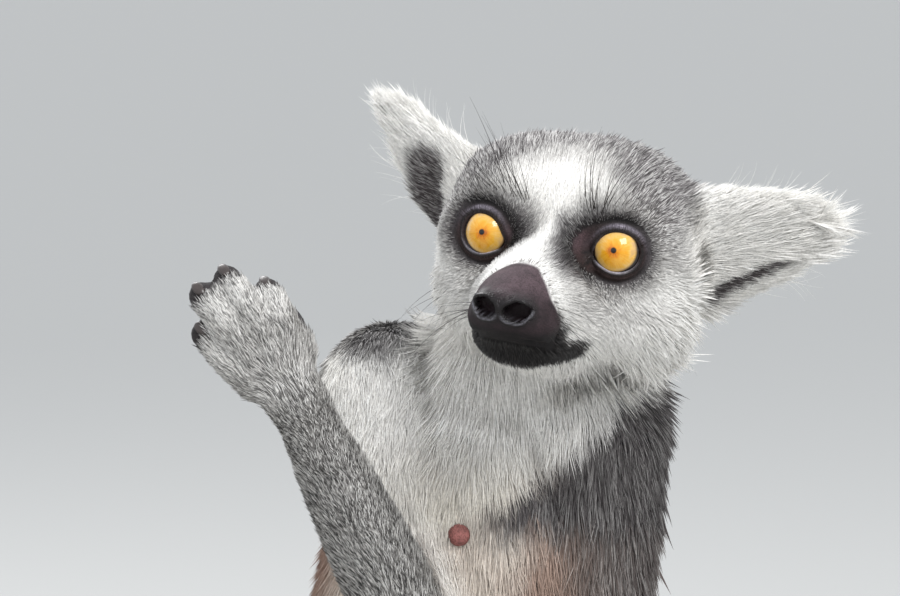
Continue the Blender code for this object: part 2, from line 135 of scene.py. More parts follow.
torso = {
    "sections": [
        ((-6, 44, 39), (56, 49, 37)), ((-6, 36, 75), (60, 55, 31)), ((-7, 28, 118), (60, 55, 30)),
        ((-7, 25, 165), (54, 50, 30)), ((-4, 22, 212), (48, 45, 28)), ((2, 16, 254), (45, 40, 26)),
        ((7, 9, 288), (38, 31, 20)),
    ],
    "neck": [((13, 4, 306), (28.5, 25, 19)), ((21, -5, 320), (26.5, 24, 16)), ((29, -17, 333), (26, 24, 16))],
    "blades": [((-17, 27, 287), (20, 17, 26)), ((28, 5, 276), (20, 18, 28))],
}
limbs = {
    "shoulder": {"right": (-24, 16, 302), "left": (35, -10, 295)},
    "elbow": {"right": (-16, -30, 233), "left": (37, 2, 212)},
    "wrist": {"right": (-49.6, -60, 308), "left": (38, -66, 161)},
    "hip": {"right": (-30, 50, 62), "left": (20, 32, 62)},
    "knee": {"right": (-108, -12, 132), "left": (42, -68, 132)},
    "ankle": {"right": (-107, 22, 20), "left": (56, -38, 20)},
    "toe": {"right": (-150, -46, 6), "left": (43, -117, 6)},
    "handEnd": {"right": (-70, -62, 344.7), "left": (44, -107, 134)},
    "handBack": {"right": (0.12, -1, 0.25), "left": (0.05, -0.5, 1)},
    "upperArm": (21, 16.5, 12.5),
    "forearm": (12.5, 11.4, 7.8),
    "thigh": (33, 30, 17),
    "shank": (15.5, 13.5, 9.5),
    "digit": (4.4, 4.0, 4.0),
    "palm": [((4, 0, 0), (9, 9, 5.5)), ((14, 0, 0), (10, 9.3, 5.6))],
    "sole": [((4, 0, 3), (8.3, 11, 7.4)), ((22, 1, 1), (9.4, 17, 6.5)), ((36, -1, 0), (12.3, 11.4, 6.1))],
    # each digit's joints: along the hand, towards the thumb, out of its back
    "fingers": [
        ((10, 7, -1), (21, 11.5, 1), (31.5, 13.5, -2)), ((18, 5.5, 1), (31, 7.5, 3.5), (41.5, 8.8, -1)),
        ((19, 0, 1.5), (32, 0, 5), (42, 0, -1)), ((17, -5.5, 1), (26, -7, 4), (33, -8.2, -1)),
        ((12, -7, -2), (18, -10, -6), (22, -11, -13)),
    ],
    "toes": [
        ((16, 9, -1), (28, 19, -1.5), (40, 27, -5)), ((38, 7, -1), (52, 9, -1), (63, 10, -5)),
        ((40, 2, -1), (56, 2, 0), (69, 1.5, -5)), ((39, -4, -1), (56, -6, 0), (71, -8, -5)),
        ((35, -9, -1.5), (48, -13, -2), (60, -17, -5)),
    ],
}
tail = {
    "start": (-2, 84, 40),
    "length": 575.0,
    "steps": 46,
    "headings": (80, 66, 18, -38, -74, -84, -88, -98, -118, -140),
    "coatRadii": (26, 27, 26, 25, 24, 22, 15),
    "skinRadii": (18.5, 18, 17.5, 16.5, 15.5, 13.5, 8),
    "sink": 2.6,
    "rings": 13.5,
}
# masses of the head: left, forward, up, then half width, length and height
head = {
    "cranium": [((0, -29, 1), (29, 30, 24.5)), ((0, -14, 2.5), (28.5, 22.5, 23))],
    "face": [((0, 0, -11), (14.5, 12.5, 16)), ((0, 15, -15.2), (10.8, 13, 12.8))],
    "muzzle": [((0, 15, -16.6), (13.2, 12, 12.8)), ((0, 28, -16.9), (12.2, 9.6, 10.9)),
               ((0, 36.0, -18.0), (9.8, 6.2, 8.4))],
    "jaw": [((0, 2, -26.5), (15, 15, 9.5)), ((0, 19, -27.3), (12.4, 10, 7.2)),
            ((0, 25.4, -28.4), (8.8, 6.2, 5.2))],
    "noseTip": [((0, 38.2, -14.9), (6.6, 5.2, 3.9)), ((0, 38.8, -18.5), (6.6, 4.6, 5.0))],
    "paired": [
        ((17, -6.5, 10.5), (10.5, 12.0, 10)), ((19.5, -3.5, 0), (12.4, 11.0, 11.2)),
        ((23, -14, -8), (11, 17, 17)), ((19, -6, -19), (10.5, 14, 10.5)), ((22, -20, -22), (10, 13, 10)),
        ((5.0, 39.0, -16.8), (4.1, 4.4, 4.3)),  # the wing of the nose
        ((7.2, 31.0, -21), (5.6, 7.6, 5.4)),  # pad of the whiskers
        ((8.5, 9, -18), (8, 10, 8)),  # side of the nose
        ((15.5, -16, 11), (13, 15, 12)),  # temple
    ],
    "orbit": (13.0, 11.8, 9.8),  # a hollow this far ahead of the eye and this wide, and the lids' radius
    "spread": 0.12,  # how much faster the right side widens past the eye
    "join": {"cranium": 6, "face": 5, "muzzle": 4, "jaw": 5, "noseTip": 3},
    "blend": (8, 6, 8, 8, 8, 2.0, 3.0, 5, 10),  # how softly each of those joins the rest
    "grain": {"cranium": 10, "face": 14, "muzzle": 18, "jaw": 18, "noseTip": 5},  # steps of each sweep
    "mouth": [(0, 40.6, -25.6), (5.3, 38.6, -25.6), (9.4, 33.8, -26.2), (12.4, 26, -27.6),
              (15.6, 18.5, -28.8), (17.2, 12.6, -30)],
    "lip": [(0, 31.4, -29.5), (4.6, 30.6, -29.5), (8.4, 28.0, -29.5), (11.6, 23.5, -30.0),
            (14.2, 18, -30.2), (16.6, 12.8, -30.2)],
}
# root, middle and tip, which way they open, half widths, the hollow, and the dark streak inside
# with how wide it is, how far short hair reaches round it, how much longer the hair is at the
# tip, and how closely it gathers there
ears = {
    "right": {"points": ((-28, -27, -2), (-50.5, -28, 9), (-62.5, -29, 21.5)), "opens": (-0.35, 1, -0.25),
              "widths": (19.5, 12.3, 4.2), "hollow": ((-51.5, -27, 1.5), (0.12, 0, 1), (8.2, 8.4, 18)),
              "dark": ((-50.5, -6.5), (-53.0, 2), (-53.5, 10.5)), "darkWide": 6.6,
              "shortTo": 2.4, "tipHair": 3.0, "gather": 1.0},
    "left": {"points": ((29, -27, 0.0), (50, -27, 7.0), (57.2, -29, 10.6)), "opens": (0.25, 1, -0.45),
             "widths": (20, 13.8, 4.8), "hollow": ((46, -27, -5.0), (0.84, 0, 0.54), (5.6, 8.4, 17)),
             "dark": ((36, -12.4), (45.5, -5.8), (57, 1.2)), "darkWide": 1.7,
             "shortTo": 3.2, "tipHair": 5.0, "gather": 0.5},
    "thickness": (6, 3.8, 2.4),
    "hollowOut": 8.5,  # how far the hollow's middle stands before the ear
}


def sweepOf(rows, steps, axes=np.eye(3)):
    # ellipsoids along a smooth path: centre, radii, axes
    t = np.linspace(0, 1, steps + 1)
    centres = along([c for c, _ in rows], t)
    radii = along([r for _, r in rows], t)
    return [(c, r, axes) for c, r in zip(centres, radii)]


def roundLimb(start, end, radii, bow=0.0, steps=16):
    start, end = np.array(start, float), np.array(end, float)
    middle = (start + end) / 2 + (0, 0, bow)
    return sweepOf([(p, (r, r, r)) for p, r in zip((start, middle, end), radii)], steps)


def pawFrame(side, foot):
    wrist = np.array(limbs["ankle" if foot else "wrist"][side], float)
    end = np.array(limbs["toe" if foot else "handEnd"][side], float)
    back = np.array((0.0, 0.0, 1.0) if foot else limbs["handBack"][side], float)
    if foot:
        wrist[2] = end[2] = 6.0
    reach = unit(end - wrist)
    across = unit(np.cross(reach, back)) * (1 if side == "left" else -1)
    return wrist, np.column_stack((across, reach, squared(back, reach)))


def pawPoint(start, axes, place):
    return start + axes @ np.array((place[1], place[0], place[2]), float)


def pawMasses(side, foot):
    start, axes = pawFrame(side, foot)
    flat = limbs["sole" if foot else "palm"]
    masses = [(pawPoint(start, axes, c), np.array(r, float), axes) for c, r in flat]
    for joints in limbs["toes" if foot else "fingers"]:
        places = [pawPoint(start, axes, j) for j in joints]
        masses += sweepOf([(p, (r, r, r)) for p, r in zip(places, limbs["digit"])], 10)
    joint = np.array(limbs["ankle" if foot else "wrist"][side], float)
    masses += roundLimb(joint, start, (9, 8.5, 8), steps=4)
    return masses


def tailPath():
    t = np.arange(tail["steps"]) / tail["steps"]
    heads = np.radians(along(tail["headings"], t))
    rest = along(tail["coatRadii"], t) - tail["sink"]
    stride = tail["length"] / tail["steps"]
    place = np.array(tail["start"], float)
    points = [place]
    for heading, level in zip(heads, rest):
        place = place + (math.cos(heading) * stride, math.sin(heading) * stride, (level - place[2]) * 0.3)
        points.append(place)
    return np.array(points)


def earFrame(side):
    points = fromHead(ears[side]["points"])
    reach = unit(points[-1] - points[0])
    opens = squared(headWay(ears[side]["opens"]), reach)
    return points, np.column_stack((np.cross(opens, reach), opens, reach))


def earMasses(side, steps=14):
    points, axes = earFrame(side)
    rows = [(p, (w, d, 8)) for p, w, d in zip(points, ears[side]["widths"], ears["thickness"])]
    return sweepOf(rows, steps, axes)


tailLine = tailPath()
sections = torso["sections"]
bodyMasses = sweepOf(sections[:4], 14, pelvisAxes) + sweepOf(sections[3:], 14, torsoAxes)
bodyMasses += sweepOf(torso["neck"], 6, torsoAxes)
bodyMasses += [(np.array(c, float), np.array(r, float), torsoAxes) for c, r in torso["blades"]]
for side in ("right", "left"):
    bodyMasses += roundLimb(limbs["shoulder"][side], limbs["elbow"][side], limbs["upperArm"])
    bodyMasses += roundLimb(limbs["elbow"][side], limbs["wrist"][side], limbs["forearm"])
    bodyMasses += roundLimb(limbs["hip"][side], limbs["knee"][side], limbs["thigh"], 4)
    bodyMasses += roundLimb(limbs["knee"][side], limbs["ankle"][side], limbs["shank"])
tailSteps = np.linspace(0, 1, 110)
bodyMasses += [(p, np.array((r, r, r)), np.eye(3))
               for p, r in zip(along(tailLine, tailSteps), along(tail["skinRadii"], tailSteps))]
handMasses = {(side, foot): pawMasses(side, foot) for side in ("right", "left") for foot in (False, True)}
headGroups = [sweepOf(head[name], n) for name, n in head["grain"].items()]
headPairs = [(np.array(c, float), np.array(r, float), np.eye(3)) for c, r in head["paired"]]


# One skin: the masses are fused, then drawn to the exact shape where it shows.

ballBm = bmesh.new()
bmesh.ops.create_uvsphere(ballBm, u_segments=20, v_segments=12, radius=1.0)
ballPoints = np.array([v.co for v in ballBm.verts])
ballFaces = [[v.index for v in f.verts] for f in ballBm.faces]
ballBm.free()


def linked(name, data):
    obj = bpy.data.objects.new(name, data)
    bpy.context.scene.collection.objects.link(obj)
    return obj


def newObject(name, points, faces):
    mesh = bpy.data.meshes.new(name)
    mesh.from_pydata((points + shift) * 0.001, [], faces)
    return linked(name, mesh)


def vectorsOf(items, field):
    flat = np.empty(len(items) * 3, np.float32)
    items.foreach_get(field, flat)
    return flat.reshape(-1, 3).astype(float)


def coordinates(mesh):
    return vectorsOf(mesh.vertices, "co") * 1000 - shift


def faceCentres(mesh):
    return vectorsOf(mesh.polygons, "center") * 1000 - shift


def setCoordinates(mesh, points):
    mesh.vertices.foreach_set("co", ((points + shift) * 0.001).astype(np.float32).ravel())
    mesh.update()


def roundShading(mesh):
    mesh.polygons.foreach_set("use_smooth", [True] * len(mesh.polygons))


def turnOutward(mesh):
    bm = bmesh.new()
    bm.from_mesh(mesh)
    bmesh.ops.recalc_face_normals(bm, faces=bm.faces)
    bm.to_mesh(mesh)
    bm.free()


def evaluated(obj):
    graph = bpy.context.evaluated_depsgraph_get()
    return bpy.data.meshes.new_from_object(obj.evaluated_get(graph))


def ellipsoidDistance(points, mass):
    centre, radii, axes = mass
    q = (points - centre) @ axes
    k0 = np.linalg.norm(q / radii, axis=1)
    k1 = np.linalg.norm(q / radii**2, axis=1)
    return k0 * (k0 - 1) / np.maximum(k1, 1e-6)


def chainDistance(points, masses, k=0.8):
    # a sweep without the ridges of its single masses
    d = np.stack([ellipsoidDistance(points, m) for m in masses])
    return k * math.log(4) - k * np.log(np.exp(np.clip(-d / k, -60, 60)).sum(axis=0))


def merged(a, b, k):
    h = np.clip(0.5 + 0.5 * (b - a) / k, 0, 1)
    return b * (1 - h) + a * h - k * h * (1 - h)


def takenToHead(masses):
    return [(toHead(c), r, (headAxes.T @ a) * flip[:, None]) for c, r, a in masses]


earGroups = {side: takenToHead(earMasses(side, 34)) for side in ("right", "left")}
neckGroup = takenToHead(sweepOf(torso["neck"], 14, torsoAxes))


def earHollow(h, side):
    at, lie, radii = (np.array(v, float) for v in ears[side]["hollow"])
    points = np.array(ears[side]["points"], float)
    opens = squared(np.array(ears[side]["opens"], float), unit(points[-1] - points[0]))
    lie = squared(lie, opens)
    axes = np.column_stack((np.cross(opens, lie), opens, lie))
    return ellipsoidDistance(h, (at + opens * ears["hollowOut"], radii, axes))


def folded(h):
    # the right half laid over the left; behind the muzzle it is wider, its eye a little lower
    left, right = (np.array(build["eyeAt"][sign], float) for sign in (1, -1))
    wide = np.abs(h[:, 0])
    over = smooth(3, 14, -h[:, 0])
    wider = -right[0] - left[0] + head["spread"] * np.clip(wide - 21, 0, 30)
    spread = over * smooth(30, 14, h[:, 1]) * wider
    near = over * bell(np.linalg.norm(h - right, axis=1), 26)
    return np.column_stack((wide - spread, h[:, 1], h[:, 2] + near * (left[2] - right[2])))


def headDistance(h):
    pair = folded(h)
    d = None
    for name, group in zip(head["grain"], headGroups):
        part = chainDistance(pair, group)
        d = part if d is None else merged(d, part, head["join"][name])
    for k, mass in zip(head["blend"], headPairs):
        d = merged(d, ellipsoidDistance(pair, mass), k)
    ahead, wide, lid = head["orbit"]
    centre, _, _, axis = eyeFrame(1)
    d = -merged(-d, np.linalg.norm(pair - centre - axis * ahead, axis=1) - wide, 3.5)
    d = merged(d, np.linalg.norm(pair - centre, axis=1) - lid, 2.2)
    d = merged(d, chainDistance(h, neckGroup), 8.0)
    for side, sign in (("right", -1), ("left", 1)):
        near = h[:, 0] * sign > 18
        part = chainDistance(h[near], earGroups[side], 0.5)
        part = merged(d[near], part, 5.0)
        d[near] = -merged(-part, earHollow(h[near], side), 2.0)
    return d


def pawDistance(points, masses):
    return np.min([ellipsoidDistance(points, m) for m in masses], axis=0)


def drawn(points, distance, weight, rounds, limit=1.6):
    # moves points onto the surface where the distance is nought
    probe = 0.25  # mm
    for _ in range(rounds):
        d = distance(points)
        slope = np.stack([(distance(points + step) - d) / probe for step in np.eye(3) * probe], axis=1)
        points = points - unit(slope) * (np.clip(d, -limit, limit) * weight)[:, None]
    return points


def relaxed(obj, factor, rounds):
    soften = obj.modifiers.new("soften", "SMOOTH")
    soften.factor = factor
    soften.iterations = rounds
    obj.data = evaluated(obj)
    obj.modifiers.clear()


def refine(obj, chosen):
    # cuts the chosen faces in four
    bm = bmesh.new()
    bm.from_mesh(obj.data)
    bm.faces.ensure_lookup_table()
    edges = {e for i in np.nonzero(chosen)[0] for e in bm.faces[i].edges}
    bmesh.ops.subdivide_edges(bm, edges=list(edges), cuts=1, use_grid_fill=True)
    bm.to_mesh(obj.data)
    bm.free()


make = {
    "voxel": 0.0027,
    "soften": (0.5, 5),  # how much, how often
    "wider": 4.0,  # mm that the right side of the head starts wider
    "rounds": 2,
    # then the face, and then the muzzle, in a finer mesh: from and to, in the head
    "finer": [((-33, -8, -40), (33, 99, 17)), ((-15, 30, -31), (15, 99, 0))],
    "pawBox": {True: (82, 36, 18), False: (52, 26, 20)},  # how far, wide and high a foot or a hand reaches
    "floor": 0.6,
}


def makeSkin():
    masses = bodyMasses + [m for group in handMasses.values() for m in group]
    for group in headGroups:
        masses += [(fromHead(c), r, headAxes) for c, r, _ in group]
    for c, r, _ in headPairs:
        wider = make["wider"] * smooth(3, 14, c[0]) * smooth(30, 14, c[1])
        masses += [(fromHead(c), r, headAxes), (fromHead(c * (-1, 1, 1) - (wider, 0, 0)), r, headAxes)]
    for side in ("right", "left"):
        masses += earMasses(side)
    points = np.concatenate([c + (ballPoints * r) @ np.asarray(a).T for c, r, a in masses])
    faces = [[i + k * len(ballPoints) for i in f] for k in range(len(masses)) for f in ballFaces]
    skin = newObject("skin", points, faces)
    remesh = skin.modifiers.new("fuse", "REMESH")
    remesh.mode = "VOXEL"
    remesh.voxel_size = make["voxel"]
    skin.data = evaluated(skin)
    skin.modifiers.clear()
    relaxed(skin, *make["soften"])
    return skin


def headWeight(h):
    # 1 on the head, fading down the neck
    away = np.linalg.norm((h - (0, -12, -6)) / (44, 52, 36), axis=1)
    earward = smooth(26, 34, np.abs(h[:, 0])) * smooth(-22, -10, h[:, 2])
    return np.clip(1 - smooth(0.9, 1.12, away) + earward * (1 - smooth(84, 90, np.abs(h[:, 0]))), 0, 1)


def shapeHead(obj):
    points = coordinates(obj.data)
    h = toHead(points)
    weight = headWeight(h) * (np.abs(h) < 95).all(axis=1)
    on = weight > 0
    points[on] = fromHead(drawn(h[on], headDistance, weight[on], make["rounds"]))
    setCoordinates(obj.data, points)


def inPaw(q, foot, nearest):
    reach, wide, high = make["pawBox"][foot]
    return (q[:, 1] > nearest) & (q[:, 1] < reach) & (np.abs(q[:, 0]) < wide) & (np.abs(q[:, 2]) < high)


def shapePaws(obj):
    points = coordinates(obj.data)
    for (side, foot), masses in handMasses.items():
        start, axes = pawFrame(side, foot)
        q = (points - start) @ axes
        on = inPaw(q, foot, 6)
        weight = smooth(6, 14, q[on, 1])
        points[on] = drawn(points[on], lambda p: pawDistance(p, masses), weight, make["rounds"], 1.0)
    points[:, 2] = np.maximum(points[:, 2], make["floor"])
    setCoordinates(obj.data, points)


skin = makeSkin()
report(f"skin fused: {len(skin.data.polygons)} faces")
shapeHead(skin)
shapePaws(skin)
centres = faceCentres(skin.data)
chosen = headWeight(toHead(centres)) > 0.5
for side in ("right", "left"):
    start, axes = pawFrame(side, False)
    chosen |= inPaw((centres - start) @ axes, False, 4)
refine(skin, chosen)
relaxed(skin, 0.5, 2)
shapeHead(skin)
shapePaws(skin)
for low, high in make["finer"]:
    h = toHead(faceCentres(skin.data))
    refine(skin, ((h > low) & (h < high)).all(axis=1))
    relaxed(skin, 0.4, 2)
    shapeHead(skin)
roundShading(skin.data)
report(f"skin shaped: {len(skin.data.polygons)} faces")


# Lids, nostrils and mouth.

lids = {
    "opening": 50.0,  # degrees from the middle of the eye
    "innerCorner": (197.0, 22.0, 13.0),  # where it lies, how wide, how far it reaches
    "lift": (-8.5, -7.0),  # the upper and lower lid, towards the middle
    "skinRadius": 9.8,
    "socketRadius": 6.6,
    "steps": 84,
}
# the lid's section: degrees past the opening, then mm from the eye's centre
lidSection = [(0.4, 7.9), (-0.2, 8.5), (0.4, 8.9), (2.2, 9.2), (5, 9.42), (8.5, 9.62), (12, 9.85),
              (15.5, 9.98), (18, 9.86), (20, 9.62), (22, 9.62), (25, 9.9), (29, 9.95), (34, 9.5),
              (33, 8.6), (22, 8.0), (8, 7.7)]


def turnBetween(a, b):
    return (a - b + 180) % 360 - 180


def lidOpening(turn):
    where, wide, reach = lids["innerCorner"]
    up, down = lids["lift"]
    return (lids["opening"] + reach * bell(turnBetween(turn, where), wide)
            + up * bell(turnBetween(turn, 90), 60) + down * bell(turnBetween(turn, 270), 60))


def eyePolar(h, sign):
    centre, outward, up, ahead = eyeFrame(sign)
    q = h - centre
    r = np.linalg.norm(q, axis=1)
    opened = np.degrees(np.arccos(np.clip(q @ ahead / np.maximum(r, 1e-6), -1, 1)))
    turn = np.degrees(np.arctan2(q @ up, q @ outward)) % 360
    return q, r, opened, turn


def toLine(h, line):
    # distance from points to a polyline, and how far along it they fall
    line = np.asarray(line, float)
    best = np.full(len(h), 1e9)
    where = np.zeros(len(h))
    for i, (a, b) in enumerate(zip(line[:-1], line[1:])):
        t = np.clip((h - a) @ (b - a) / (b - a).dot(b - a), 0, 1)
        d = np.linalg.norm(h - a - t[:, None] * (b - a), axis=1)
        closer = d < best
        best[closer] = d[closer]
        where[closer] = (i + t[closer]) / (len(line) - 1)
    return best, where


nose = {
    "nostril": [(3.6, 43.4, -17.6), (4.8, 42.9, -17.3), (6.0, 41.8, -16.9), (7.1, 40.4, -16.3)],
    "radii": (2.5, 2.95, 2.75, 1.5),
    "depth": 5.6,
    "rim": 0.55,
    "groove": [(0, 44.8, -15.5), (0, 44.3, -19), (0, 42.3, -24)],
}


def carveFace(obj):
    points = coordinates(obj.data)
    h = toHead(points)
    on = (np.abs(h) < (36, 60, 48)).all(axis=1) & (h[:, 1] > -12)
    q = h[on]
    normals = (vectorsOf(obj.data.vertices, "normal")[on] @ headAxes) * flip
    for sign in (-1, 1):
        rel, r, opened, turn = eyePolar(q, sign)
        step = smooth(2, 8, opened - lidOpening(turn))
        wanted = lids["socketRadius"] + (lids["skinRadius"] - lids["socketRadius"]) * step
        weight = (1 - smooth(54, 72, opened)) * (1 - smooth(10.8, 13.5, r))
        q = q + rel / r[:, None] * ((wanted - r) * weight)[:, None]
    pair = folded(q)
    away, _ = toLine(pair, head["mouth"])
    q = q - normals * (1.2 * bell(away, 0.8) - 0.3 * bell(away - 2.2, 1.2))[:, None]
    away, where = toLine(pair, nose["nostril"])
    radius = np.interp(where, np.linspace(0, 1, len(nose["radii"])), nose["radii"])
    hole = 1 - smooth(0.7, 1.03, away / radius)
    q = q + np.array((0, -1.0, 0.1)) * (hole * nose["depth"] * (0.35 + 0.65 * radius / 2.8))[:, None]
    q = q + normals * (nose["rim"] * bell(away - radius - 0.7, 0.55) * (pair[:, 1] > 38))[:, None]
    away, _ = toLine(q, nose["groove"])
    q = q - normals * (0.55 * bell(away, 0.6))[:, None]
    points[on] = fromHead(q)
    setCoordinates(obj.data, points)


def lidRings():
    # both rims of skin round the eyes, as closed rings
    points, faces = [], []
    turns = np.arange(lids["steps"]) * 360 / lids["steps"]
    for sign in (-1, 1):
        centre, outward, up, ahead = eyeFrame(sign)
        first = len(points)
        for turn in turns:
            fold = 0.35 + 0.65 * bell(turnBetween(turn, 90), 75)  # the fold shows in the upper lid
            for past, radius in lidSection:
                if 10 < past < 31 and radius > 9:
                    radius = 9.75 + (radius - 9.75) * fold
                lean = math.radians(float(lidOpening(turn)) + past)
                a = math.radians(turn)
                aside = outward * math.cos(a) + up * math.sin(a)
                points.append(centre + (ahead * math.cos(lean) + aside * math.sin(lean)) * radius)
        m, n = len(lidSection), len(turns)
        for i in range(n):
            for k in range(m):
                ring = [first + i * m + k, first + i * m + (k + 1) % m,
                        first + (i + 1) % n * m + (k + 1) % m, first + (i + 1) % n * m + k]
                faces.append(ring if sign < 0 else ring[::-1])
    return newObject("lids", fromHead(np.array(points)), faces)


carveFace(skin)
rings = lidRings()
bm = bmesh.new()
for mesh in (skin.data, rings.data):
    bm.from_mesh(mesh)
bm.to_mesh(skin.data)
bm.free()
bpy.data.objects.remove(rings)
roundShading(skin.data)
report(f"face carved: {sum(len(f.vertices) - 2 for f in skin.data.polygons)} triangles")


# Where each part of the skin belongs, its colour, and how its fur lies.

def linear(text):
    # an sRGB hex value as linear light
    c = np.array([int(text[i:i + 2], 16) for i in (1, 3, 5)]) / 255
    return np.where(c <= 0.04045, c / 12.92, ((c + 0.055) / 1.055) ** 2.4)


tone = {name: linear(text) for name, text in {
    "white": "#f4f2ee", "cream": "#ece6da", "pale": "#cfccc8", "grey": "#8f8b87", "slate": "#575253",
    "black": "#171414", "cap": "#757070", "agouti": "#83807d", "rosy": "#a78e80", "belly": "#ddd2c6",
    "brown": "#7f6f63", "streak": "#5b4638", "inEar": "#4a4243",
    "leather": "#2c2124", "bridge": "#43363a", "snout": "#0f0b0c", "rimHighlight": "#77757c", "pad": "#2a2627",
    "eyeSkin": "#2a1c1a", "lidBand": "#8f8893", "innerLid": "#5b474d", "wetHighlight": "#c9c3cc",
    "nipple": "#8a5853",
}.items()}
regionNames = ["head", "earRight", "earLeft", "torso", "armRight", "armLeft", "handRight", "handLeft",
               "legRight", "legLeft", "footRight", "footLeft", "tail"]


# radii of the body round its bones, for telling which part a point belongs to
bones = {
    "headLine": [(0, -22, 0), (0, -5, -3), (0, 12, -12), (0, 24, -15), (0, 34, -17)],
    "head": (31, 27, 18, 15, 13),
    "ear": (14, 13, 11),
    "arm": ((0, 0.5, 1), (18, 12, 8)),
    "leg": ((0, 0.25, 0.5, 1), (33, 31, 16.5, 9.5)),
    "paw": 6.0,
}
limbJoints = {"arm": ("shoulder", "elbow", "wrist"), "leg": ("hip", "knee", "ankle")}


def boneSamples():
    rows = []

    def add(region, points, radii):
        points = np.asarray(points, float)
        lie = unit(np.gradient(points, axis=0))
        t = np.linspace(0, 1, len(points))
        for p, r, d, k in zip(points, np.broadcast_to(radii, len(points)), lie, t):
            rows.append((regionNames.index(region), p, r, d, k))

    add("head", fromHead(bones["headLine"]), bones["head"])
    for name, side in (("Right", "right"), ("Left", "left")):
        t = np.linspace(0, 1, 12)
        add("ear" + name, along(earFrame(side)[0], np.linspace(0.12, 1, 12)), along(bones["ear"], t))
        for part, joints in limbJoints.items():
            first, middle, last = (np.array(limbs[k][side], float) for k in joints)
            add(part + name, np.concatenate([along([first, middle], t), along([middle, last], t)[1:]]),
                np.interp(np.linspace(0, 1, 23), *bones[part]))
        for foot, part in ((False, "hand"), (True, "foot")):
            start, axes = pawFrame(side, foot)
            for joints in limbs["toes" if foot else "fingers"]:
                places = [pawPoint(start, axes, j) for j in joints]
                add(part + name, along([start] + places, np.linspace(0.1, 1, 14)), bones["paw"])
    sections = [(c, (r[0] + r[1]) / 2) for c, r in torso["sections"] + torso["neck"]]
    t = np.linspace(0, 1, 34)
    add("torso", along([c for c, _ in sections], t), along([r for _, r in sections], t))
    add("tail", along(tailLine, np.linspace(0, 1, 90)), along(tail["skinRadii"], np.linspace(0, 1, 90)))
    return rows


sampleRegion, samplePoint, sampleRadius, sampleLie, sampleT = (np.array(v) for v in zip(*boneSamples()))


def nearness(points):
    # for each region: distance over radius, and the nearest sample
    scores = np.empty((len(points), len(regionNames)), np.float32)
    nearest = np.empty((len(points), len(regionNames)), int)
    for first in range(0, len(points), 8000):
        chunk = points[first:first + 8000]
        for k in range(len(regionNames)):
            chosen = np.nonzero(sampleRegion == k)[0]
            d = np.linalg.norm(chunk[:, None] - samplePoint[chosen][None], axis=2) / sampleRadius[chosen]
            i = d.argmin(axis=1)
            scores[first:first + 8000, k] = d[np.arange(len(chunk)), i]
            nearest[first:first + 8000, k] = chosen[i]
    return scores, nearest


def mix(a, b, amount):
    amount = np.asarray(amount)[..., None] if np.ndim(amount) else amount
    return a * (1 - amount) + b * amount


def blend(a, b, amount):
    return a * (1 - amount) + b * amount


def wander(points, size, seed=0.0):
    # a soft uneven field between -1 and 1, its waves about this many mm long
    p = points * (2 * math.pi / size)
    a = np.sin(p @ (0.93, 0.31, 0.2) + seed) + np.sin(p @ (-0.36, 0.88, 0.41) * 1.17 + seed * 2.1)
    b = np.sin(p @ (0.21, -0.45, 0.93) * 0.91 + seed * 3.7) + np.sin(p @ (0.71, 0.62, -0.52) * 1.43 + a)
    return (a + b) / 4


def ovalAway(points, centre, radii):
    return np.linalg.norm((points - centre) / radii, axis=1)


# The look functions give, for each point: colour, length of the hair in mm, its lift
# in degrees, its width in mm, tufts to the square mm, grizzle, bare skin and lie.

marks = {
    "capLine": (25, 0.024, 0.35),  # its height in the middle, how it falls sideways and behind
    "eyePatch": {"inner": (21.0, 16.0), "outer": 11.8, "above": 12.6, "below": 11.4},
    # the side edge of the leather: at these levels, this far to the left
    "leatherEdge": ((-30, -26.7, -23.9, -20.1, -16.7, -12.4, -8, -5.9),
                    (5.0, 4.6, 3.6, 1.9, 0.1, -1.6, -3.4, -5.6)),
    "leatherTop": (-6.2, -4.6),
    # the height of the mouth, this far forward
    "mouthLevel": ((12.6, 18.5, 26, 34.5, 39.8, 41.8), (-30, -28.8, -27.6, -26.2, -25.6, -25.6)),
    "mouthCorner": (16.2, 14.4, -30),
    "furFrom": (0, 44, -9),  # the point that the fur of the face lies away from
}


